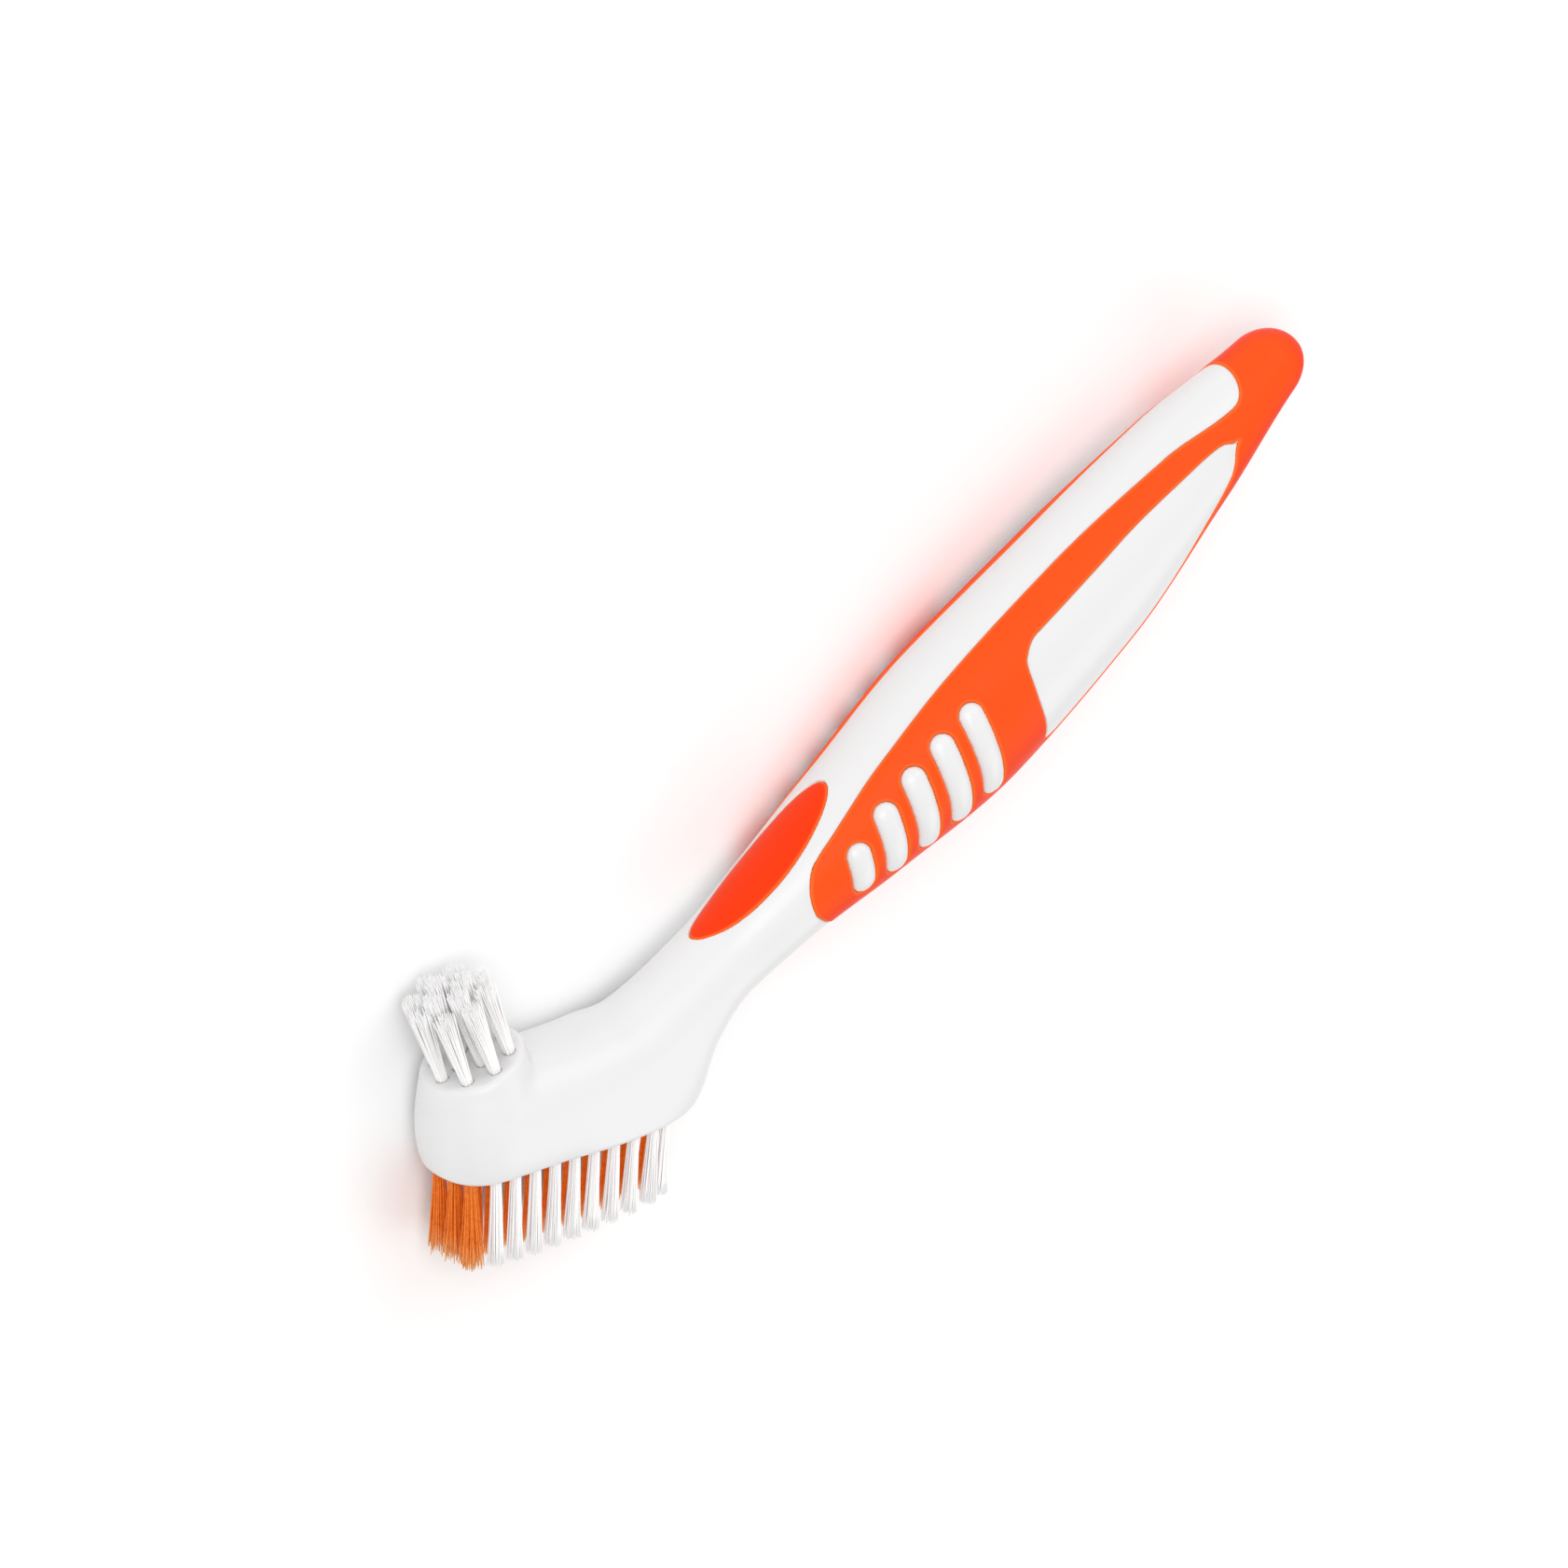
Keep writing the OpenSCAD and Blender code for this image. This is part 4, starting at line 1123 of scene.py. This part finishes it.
def maths(tree, operation, *values):
    """The output of a Math node on sockets or numbers."""
    return add_node(tree, "ShaderNodeMath", dict(enumerate(values)), operation=operation).outputs[0]


def vectors(tree, operation, first, second):
    """The output of a Vector Math node. The second value of SCALE is its factor."""
    links = {0: first, "Scale" if operation == "SCALE" else 1: second}
    return add_node(tree, "ShaderNodeVectorMath", links, operation=operation).outputs[0]


def mixed(tree, factor, first, second):
    """The output of a mix of two colours."""
    node = add_node(tree, "ShaderNodeMix", {"Factor": factor}, data_type="RGBA")
    colours = [s for s in node.inputs if s.type == "RGBA"]
    feed(tree, colours[0], first)
    feed(tree, colours[1], second)
    return next(s for s in node.outputs if s.type == "RGBA")


def mapped(tree, value, low, high, start=0.0, end=1.0, way="SMOOTHSTEP"):
    """A value mapped from low and high to start and end."""
    ends = {"From Min": low, "From Max": high, "To Min": start, "To Max": end}
    node = add_node(tree, "ShaderNodeMapRange", {"Value": value, **ends}, interpolation_type=way)
    return node.outputs["Result"]


def noise(tree, scale, detail=2.0):
    """A noise over the place on the object."""
    where = tree.nodes.new("ShaderNodeTexCoord").outputs["Object"]
    links = {"Vector": where, "Scale": scale, "Detail": detail}
    return add_node(tree, "ShaderNodeTexNoise", links).outputs["Fac"]


def new_group(name, kind, inputs, outputs):
    """A node group with named sockets, the sockets that it is given and those that it fills."""
    group = bpy.data.node_groups.new(name, kind)
    for key, socket_kind, value in inputs:
        socket = group.interface.new_socket(key, in_out="INPUT", socket_type="NodeSocket" + socket_kind)
        if value is not None:
            socket.default_value = value
    for key, socket_kind in outputs:
        group.interface.new_socket(key, in_out="OUTPUT", socket_type="NodeSocket" + socket_kind)
    return group, group.nodes.new("NodeGroupInput").outputs, group.nodes.new("NodeGroupOutput").inputs


def named(tree, key, kind="FLOAT"):
    """The output of a Named Attribute node."""
    node = add_node(tree, "GeometryNodeInputNamedAttribute", {"Name": key}, data_type=kind)
    return node.outputs["Attribute"]


def store(tree, geometry, key, value, kind="FLOAT"):
    """Stores a value at each point as a named attribute and returns the geometry."""
    node = add_node(
        tree, "GeometryNodeStoreNamedAttribute",
        {"Geometry": geometry, "Name": key}, data_type=kind, domain="POINT",
    )
    tree.links.new(value, node.inputs["Value"])
    return node.outputs["Geometry"]


def random_number(tree, low, high, seed, index):
    """A random number for each element."""
    node = add_node(
        tree, "FunctionNodeRandomValue", {"Seed": seed, "ID": index}, data_type="FLOAT"
    )
    floats = [s for s in node.inputs if s.type == "VALUE"]
    floats[0].default_value, floats[1].default_value = low, high
    return [s for s in node.outputs if s.type == "VALUE"][0]


BRISTLE_INPUTS = (
    ("Geometry", "Geometry", None),
    ("Filaments", "Int", 40),
    ("Root radius", "Float", 0.0008),
    ("Tip radius", "Float", 0.0012),
    ("Filament radius", "Float", 0.00008),
    ("Sunk root", "Float", 0.001),
    ("Stray", "Float", 0.0001),
    ("Trim", "Float", 0.02),
    ("Seed", "Int", 1),
    ("Material", "Material", None),
)

# What is drawn at random for each filament, and between which numbers.
DRAWS = (
    ("stray_u", -1, 1),
    ("stray_v", -1, 1),
    ("cut", -1, 0),
    ("bow_u", -1, 1),
    ("bow_v", -1, 1),
)

# Angle from one filament of a tuft to the next, as in a sunflower.
GOLDEN_ANGLE = math.pi * (3 - math.sqrt(5))

# A filament's shape: the powers of its flare and its stray, how much of the stray bows its middle,
# and the power and the share by which it thins at its tip.
FLARE_POWER = 1.3
STRAY_POWER = 2.0
BOW_SHARE = 0.5
TIP_POWER = 14.0
TIP_THINNING = 0.55


def bristle_tree():
    """Geometry Nodes that grow a bunch of flared filaments from each tuft's root."""
    tree = bpy.data.node_groups.get("Bristle tufts")
    if tree:
        return tree
    tree, given, filled = new_group(
        "Bristle tufts", "GeometryNodeTree", BRISTLE_INPUTS, [("Geometry", "Geometry")]
    )
    add, subtract, multiply, power = (
        functools.partial(maths, tree, operation)
        for operation in ("ADD", "SUBTRACT", "MULTIPLY", "POWER")
    )
    copies = add_node(
        tree, "GeometryNodeDuplicateElements",
        {"Geometry": given["Geometry"], "Amount": given["Filaments"]}, domain="POINT",
    )
    number = copies.outputs["Duplicate Index"]
    spread = maths(tree, "SQRT", maths(tree, "DIVIDE", add(number, 0.5), given["Filaments"]))
    index = tree.nodes.new("GeometryNodeInputIndex").outputs[0]
    points = store(tree, copies.outputs["Geometry"], "spread", spread)
    points = store(tree, points, "turn", multiply(number, GOLDEN_ANGLE))
    for k, (key, low, high) in enumerate(DRAWS):
        seed = add(given["Seed"], 11 * k)
        points = store(tree, points, key, random_number(tree, low, high, seed, index))
    filament = add_node(
        tree, "GeometryNodeMeshCylinder",
        {"Vertices": 5, "Side Segments": 6, "Radius": 1.0, "Depth": 1.0}, fill_type="TRIANGLE_FAN",
    )
    place = tree.nodes.new("GeometryNodeInputPosition").outputs[0]
    stick = store(tree, filament.outputs["Mesh"], "spoke", place, "FLOAT_VECTOR")
    bunch = add_node(tree, "GeometryNodeInstanceOnPoints", {"Points": points, "Instance": stick})
    real = add_node(tree, "GeometryNodeRealizeInstances", {"Geometry": bunch.outputs["Instances"]})
    spoke = named(tree, "spoke", "FLOAT_VECTOR")
    parts = add_node(tree, "ShaderNodeSeparateXYZ", {"Vector": spoke}).outputs
    along = add(parts["Z"], 0.5)
    root = vectors(tree, "SUBTRACT", place, spoke)
    aim = named(tree, "aim", "FLOAT_VECTOR")
    u = named(tree, "across", "FLOAT_VECTOR")
    v = vectors(tree, "CROSS_PRODUCT", aim, u)
    flare = power(along, FLARE_POWER)
    widening = subtract(given["Tip radius"], given["Root radius"])
    width = add(given["Root radius"], multiply(flare, widening))
    width = multiply(width, named(tree, "spread"))
    stray = multiply(power(along, STRAY_POWER), given["Stray"])
    hump = multiply(maths(tree, "SINE", multiply(along, math.pi)), given["Stray"])
    left = subtract(1.0, multiply(power(along, TIP_POWER), TIP_THINNING))
    thin = multiply(given["Filament radius"], left)
    offsets = []
    for key, trig, coordinate in (("u", "COSINE", "X"), ("v", "SINE", "Y")):
        offset = multiply(width, maths(tree, trig, named(tree, "turn")))
        offset = add(offset, multiply(stray, named(tree, "stray_" + key)))
        offset = add(offset, multiply(hump, multiply(named(tree, "bow_" + key), BOW_SHARE)))
        offsets.append(add(offset, multiply(thin, parts[coordinate])))
    trimmed = add(1.0, multiply(given["Trim"], named(tree, "cut")))
    reach = multiply(named(tree, "reach"), trimmed)
    up = subtract(multiply(along, add(reach, given["Sunk root"])), given["Sunk root"])
    end = vectors(tree, "ADD", root, vectors(tree, "SCALE", aim, up))
    end = vectors(tree, "ADD", end, vectors(tree, "SCALE", u, offsets[0]))
    end = vectors(tree, "ADD", end, vectors(tree, "SCALE", v, offsets[1]))
    shaped = store(tree, real.outputs["Geometry"], "along", along)
    moved = add_node(tree, "GeometryNodeSetPosition", {"Geometry": shaped, "Position": end})
    shade = add_node(tree, "GeometryNodeSetShadeSmooth", {"Geometry": moved.outputs["Geometry"]})
    last = add_node(tree, "GeometryNodeRealizeInstances", {"Geometry": shade.outputs["Geometry"]})
    painted = add_node(
        tree, "GeometryNodeSetMaterial",
        {"Geometry": last.outputs["Geometry"], "Material": given["Material"]},
    )
    tree.links.new(painted.outputs["Geometry"], filled["Geometry"])
    return tree


# A direction that no tuft points in, to find a direction across each tuft.
ACROSS_FROM = (0.13, 0.31, 0.94)

# Millimetres by which a filament strays, and share of its length by which it is cut shorter.
STRAY = 0.12
TRIM = 0.03

# The same for the front tufts, and how many more filaments than the rows' the wide tufts have.
FRONT_STRAY = 0.25
FRONT_TRIM = 0.08
WIDE_MORE = 1.5

# Attributes that a filament's shape needs only while it grows.
GROWING = ("spoke", "aim", "across", "reach", "spread", "turn", *(key for key, _, _ in DRAWS))


def grow_bristles(form, name, nodes, slot, material, seed, **changes):
    """Grows the filaments of some tufts as one plain mesh that stands for their nodes."""
    b = form.bristles
    places = tuft_places(form)
    roots = form.lie(np.array([places[n][0] for n in nodes], float))
    aims = form.turned(np.array([places[n][1] for n in nodes], float))
    across = unit(np.cross(aims, ACROSS_FROM))
    reach = [places[n][2] * MM for n in nodes]
    attributes = [("aim", aims), ("across", across), ("reach", reach)]
    seedbed = make_object(name + "_roots", roots, [], attributes)
    modifier = seedbed.modifiers.new("Bristles", "NODES")
    modifier.node_group = bristle_tree()
    values = {
        "Filaments": b.filaments,
        "Root radius": (b.root_r - b.filament_r) * MM,
        "Tip radius": (b.tip_r - b.filament_r) * MM,
        "Filament radius": b.filament_r * MM,
        "Sunk root": b.sunk * MM,
        "Stray": STRAY * MM,
        "Trim": TRIM,
        "Seed": seed,
        "Material": material,
        **changes,
    }
    items = modifier.node_group.interface.items_tree
    sockets = {s.name: s.identifier for s in items if s.in_out == "INPUT"}
    for key, value in values.items():
        modifier[sockets[key]] = value
    grown = bpy.data.meshes.new_from_object(
        seedbed.evaluated_get(bpy.context.evaluated_depsgraph_get())
    )
    seedbed.modifiers.remove(modifier)
    bpy.data.objects.remove(seedbed)
    grown.name = name
    for key in GROWING:
        layer = grown.attributes.get(key)
        if layer:
            grown.attributes.remove(layer)
    obj = bpy.data.objects.new(name, grown)
    bpy.context.scene.collection.objects.link(obj)
    finish_piece(obj, slot, nodes, material)


class BRUSH_OT_bristles(bpy.types.Operator):
    """Grow the filaments of the main brush and of the small brush"""

    bl_idname = "brush.bristles"
    bl_label = "Bristles"

    def execute(self, context):
        form = Form(context.scene)
        b = form.bristles
        finish = context.scene.brush_finish
        amber_ends = finish.amber_root, finish.amber_tip
        # Each kind of filament has a faint painted glow, and the inner rows have the strongest.
        white = filament_material(
            "White filament", finish.white_root, finish.white_tip, variation=0.03, glow=0.02
        )
        amber = filament_material("Amber filament", *amber_ends, variation=0.25, glow=0.06)
        inner = filament_material("Inner filament", *amber_ends, variation=0.25, glow=0.16)
        more = round(b.filaments * WIDE_MORE)
        small = {"Tip radius": (b.small_tip_r - b.filament_r) * MM, "Filaments": more}
        front = {
            "Tip radius": (b.front_tip_r - b.filament_r) * MM,
            "Filaments": more,
            "Stray": FRONT_STRAY * MM,
            "Trim": FRONT_TRIM,
        }
        rows = (
            ("left", b.row_count, white, "white_bristle", {}),
            ("right", b.row_count, white, "white_bristle", {}),
            ("inner_left", b.row_count, inner, "orange_bristle", {}),
            ("inner_right", b.row_count, inner, "orange_bristle", {}),
            ("front", FRONT_TUFTS, amber, "orange_bristle", front),
            ("ring", b.ring_count, white, "white_bristle", small),
            ("centre", b.core_count, white, "white_bristle", small),
        )
        for seed, (row, number, material, slot, changes) in enumerate(rows):
            nodes = [f"{row}_tuft_{k + 1}" for k in range(number)]
            grow_bristles(form, row + "_bristles", nodes, slot, material, 7 * seed + 3, **changes)
        return {"FINISHED"}


class BRUSH_OT_anchors(bpy.types.Operator):
    """Give the metal anchors at the tufts' roots their finish"""

    bl_idname = "brush.anchors"
    bl_label = "Anchors"

    def execute(self, context):
        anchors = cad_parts["tuft_anchors"]
        anchors.data.materials.clear()
        anchors.data.materials.append(anchor_brass(context.scene.brush_finish))
        return {"FINISHED"}


def new_material(name):
    """A material with its node tree and its Principled shader."""
    material = bpy.data.materials.new(name)
    material.use_nodes = True
    tree = material.node_tree
    shader = next(n for n in tree.nodes if n.type == "BSDF_PRINCIPLED")
    return material, tree, shader


def set_inputs(node, **values):
    """Sets sockets by name, with _ for a space."""
    for key, value in values.items():
        node.inputs[key.replace("_", " ")].default_value = value


def moulded_group():
    """Shared surface of moulded plastic: a faint grain and a slow change of roughness."""
    group = bpy.data.node_groups.get("Moulded surface")
    if group:
        return group
    group, given, filled = new_group("Moulded surface", "ShaderNodeTree", (
        ("Grain size", "Float", 900.0),
        ("Grain depth", "Float", 0.05),
        ("Smooth", "Float", 0.25),
        ("Rough", "Float", 0.35),
    ), [("Roughness", "Float"), ("Normal", "Vector")])
    grain = noise(group, given["Grain size"], 3.0)
    spread = mapped(group, noise(group, 60.0), 0.35, 0.65, given["Smooth"], given["Rough"])
    bump = add_node(
        group, "ShaderNodeBump",
        {"Height": grain, "Strength": given["Grain depth"], "Distance": 0.0001},
    )
    group.links.new(spread, filled["Roughness"])
    group.links.new(bump.outputs["Normal"], filled["Normal"])
    return group


def use_moulded(tree, shader, **values):
    """Links the shared moulded surface to a shader."""
    group = tree.nodes.new("ShaderNodeGroup")
    group.node_tree = moulded_group()
    set_inputs(group, **values)
    tree.links.new(group.outputs["Roughness"], shader.inputs["Roughness"])
    tree.links.new(group.outputs["Normal"], shader.inputs["Normal"])


# The faint clouds in the white: the tone of the darker parts as a share of the paler ones'.
CLOUD_TONE = 0.985


def white_plastic(finish):
    """White polypropylene with a soft satin gloss."""
    material, tree, shader = new_material("White polypropylene")
    dark = [c * CLOUD_TONE for c in finish.white]
    tone = mixed(tree, noise(tree, 45.0), dark, finish.white)
    tree.links.new(tone, shader.inputs["Base Color"])
    set_inputs(shader, IOR=1.49, Subsurface_Weight=0.12, Subsurface_Scale=0.002)
    set_inputs(shader, Subsurface_Radius=(1.0, 0.9, 0.8))
    use_moulded(tree, shader, Grain_size=1400.0, Grain_depth=0.03, Smooth=0.29, Rough=0.31)
    return material


def orange_soft(finish, name, face):
    """Orange elastomer with painted shade, deeper where it turns away from the eye, and paler on the
    thin lip along its borders, partly from the thin elastomer over the white and partly a painted
    highlight.
    """
    material, tree, shader = new_material(name)
    rim = add_node(tree, "ShaderNodeAttribute", attribute_name="rim").outputs["Fac"]
    # Painted shade: the orange is mixed towards a deeper red where the surface turns away from the eye.
    facing = add_node(tree, "ShaderNodeLayerWeight", {"Blend": 0.5}).outputs["Facing"]
    field = mixed(tree, mapped(tree, facing, 0.2, 0.7), face, finish.orange_deep)
    # The lip's paler orange is partly the thin elastomer over the white and partly a painted highlight.
    tone = mixed(tree, mapped(tree, rim, 0.1, 0.55, 1.0, 0.0), field, finish.orange_rim)
    tree.links.new(tone, shader.inputs["Base Color"])
    set_inputs(shader, IOR=1.46, Specular_IOR_Level=0.12)
    use_moulded(tree, shader, Grain_size=1100.0, Grain_depth=0.06, Smooth=0.38, Rough=0.46)
    return material


def filament_tone():
    """Shared colour of filaments: darker at the root, paler at the tip, each a little different."""
    group = bpy.data.node_groups.get("Filament tone")
    if group:
        return group
    group, given, filled = new_group("Filament tone", "ShaderNodeTree", (
        ("Root", "Color", None), ("Tip", "Color", None), ("Variation", "Float", None),
    ), [("Color", "Color")])
    along = add_node(group, "ShaderNodeAttribute", attribute_name="along").outputs["Fac"]
    tipped = mapped(group, along, 0.72, 1.0, way="LINEAR")
    tone = mixed(group, tipped, given["Root"], given["Tip"])
    shade = mapped(group, noise(group, 2200.0, 1.0), 0.3, 0.7, way="LINEAR")
    dark = maths(group, "SUBTRACT", 1.0, maths(group, "MULTIPLY", shade, given["Variation"]))
    group.links.new(vectors(group, "SCALE", tone, dark), filled["Color"])
    return group


def filament_material(name, root, tip, variation, glow):
    """Fine nylon filament, with a faint painted glow: emission that stands in for the light that it
    passes on inside a tuft.
    """
    material, tree, shader = new_material(name)
    group = tree.nodes.new("ShaderNodeGroup")
    group.node_tree = filament_tone()
    set_inputs(group, Root=(*root, 1), Tip=(*tip, 1), Variation=variation)
    # The painted glow is emission in the filament's own colour.
    for key in ("Base Color", "Emission Color"):
        tree.links.new(group.outputs["Color"], shader.inputs[key])
    set_inputs(shader, Roughness=0.5, IOR=1.53, Specular_IOR_Level=0.35, Emission_Strength=glow)
    return material


def anchor_brass(finish):
    """Drawn brass strip."""
    material, tree, shader = new_material("Drawn brass")
    where = tree.nodes.new("ShaderNodeTexCoord").outputs["Object"]
    stretched = add_node(tree, "ShaderNodeMapping", {"Vector": where, "Scale": (1.0, 1.0, 14.0)})
    lines = add_node(tree, "ShaderNodeTexNoise", {"Vector": stretched.outputs[0], "Scale": 3000.0})
    spread = mapped(tree, lines.outputs["Fac"], 0.0, 1.0, 0.22, 0.42, way="LINEAR")
    tree.links.new(spread, shader.inputs["Roughness"])
    set_inputs(shader, Base_Color=(*finish.brass, 1), Metallic=1.0)
    return material


# The photograph's view in the standing brush's frame: the picture's upright direction, the
# direction to the camera and the point in the picture's middle. The width is in millimetres there,
# and the distance in metres.
CAMERA_UP = (0.263, 0.901, -0.345)
CAMERA_AWAY = (-0.546, 0.434, 0.716)
LOOK_AT = (54.5, 37.9, 0)
CAMERA_DISTANCE = 2.0
PICTURE_WIDTH = 193.3

# The floor's reach in metres, the strength of the room's light, and the soft lights with their
# places and sizes in metres and their powers in watts.
FLOOR_REACH = 6.0
ROOM_LIGHT = 0.68
LIGHTS = (
    ("key", (-0.35, 0.6, 0.95), 0.7, 5.2),
    ("fill", (0.7, 0.5, 0.7), 0.8, 2.15),
    ("front", (0.3, -0.8, 0.6), 0.6, 1.3),
)


def soft_light(name, place, size, power):
    """A square soft light that faces the brush."""
    data = bpy.data.lights.new(name, "AREA")
    data.shape = "SQUARE"
    data.size = size
    data.energy = power
    obj = bpy.data.objects.new(name, data)
    obj.location = place
    obj.rotation_euler = (-Vector(place)).to_track_quat("-Z", "Y").to_euler()
    bpy.context.scene.collection.objects.link(obj)


class BRUSH_OT_stage(bpy.types.Operator):
    """Lay the pale floor, hang the soft lights and set the camera"""

    bl_idname = "brush.stage"
    bl_label = "Stage"

    def execute(self, context):
        scene = context.scene
        self.lay_floor(scene)
        self.light(scene)
        self.set_camera(scene)
        return {"FINISHED"}

    def lay_floor(self, scene):
        """A plain pale floor at the height that the brush lies on."""
        corners = FLOOR_REACH * np.array([(-1, -1, 0), (1, -1, 0), (1, 1, 0), (-1, 1, 0)])
        floor = make_object("floor", corners, [(0, 1, 2, 3)])
        material, _, shader = new_material("Pale floor")
        set_inputs(shader, Base_Color=(*scene.brush_finish.floor, 1))
        set_inputs(shader, Roughness=0.9, Specular_IOR_Level=0.1)
        floor.data.materials.append(material)

    def light(self, scene):
        """A bright room and three soft lights."""
        world = bpy.data.worlds.new("Studio")
        world.use_nodes = True
        background = next(n for n in world.node_tree.nodes if n.type == "BACKGROUND")
        set_inputs(background, Color=(1, 1, 1, 1), Strength=ROOM_LIGHT)
        scene.world = world
        for light in LIGHTS:
            soft_light(*light)
        scene.view_settings.view_transform = "Standard"

    def set_camera(self, scene):
        """A long lens at the photograph's viewing angle."""
        data = bpy.data.cameras.new("camera")
        data.sensor_width = 36.0
        data.lens = data.sensor_width * CAMERA_DISTANCE / (PICTURE_WIDTH * MM)
        data.clip_end = 20.0
        camera = bpy.data.objects.new("camera", data)
        scene.collection.objects.link(camera)
        form = Form(scene)
        away = Vector(form.turned(np.array(CAMERA_AWAY))).normalized()
        right = Vector(form.turned(np.array(CAMERA_UP))).cross(away).normalized()
        camera.location = Vector(form.lie(np.array(LOOK_AT))) + away * CAMERA_DISTANCE
        camera.rotation_euler = Matrix((right, away.cross(right), away)).transposed().to_euler()
        scene.camera = camera


class BRUSH_PT_panel(bpy.types.Panel):
    """Lists the brush's pieces"""

    bl_idname = "BRUSH_PT_panel"
    bl_label = "Denture brush"
    bl_space_type = "VIEW_3D"
    bl_region_type = "UI"
    bl_category = "Brush"

    def draw(self, context):
        for operator in OPERATORS:
            self.layout.operator(operator.bl_idname)
        for key in GROUPS:
            box = self.layout.box()
            group = getattr(context.scene, key)
            box.label(text=key.replace("brush_", "").capitalize())
            for name in group.bl_rna.properties.keys():
                if name not in ("rna_type", "name"):
                    box.prop(group, name)


GROUPS = {
    "brush_head": BRUSH_PG_head,
    "brush_neck": BRUSH_PG_neck,
    "brush_handle": BRUSH_PG_handle,
    "brush_grip": BRUSH_PG_grip,
    "brush_bristles": BRUSH_PG_bristles,
    "brush_finish": BRUSH_PG_finish,
}
OPERATORS = (BRUSH_OT_body, BRUSH_OT_grip, BRUSH_OT_bristles, BRUSH_OT_anchors, BRUSH_OT_stage)
CLASSES = (*GROUPS.values(), *OPERATORS, BRUSH_PT_panel)


def register():
    """Makes the sizes, the operators and the panel known to Blender."""
    for cls in CLASSES:
        bpy.utils.register_class(cls)
    for key, group in GROUPS.items():
        setattr(bpy.types.Scene, key, bpy.props.PointerProperty(type=group))


def unregister():
    """Takes them away again."""
    for key in GROUPS:
        delattr(bpy.types.Scene, key)
    for cls in reversed(CLASSES):
        bpy.utils.unregister_class(cls)


def main():
    """Builds every piece and the stage."""
    register()
    bpy.ops.brush.body()
    bpy.ops.brush.grip()
    bpy.ops.brush.bristles()
    bpy.ops.brush.anchors()
    bpy.ops.brush.stage()


if __name__ == "__main__":
    main()
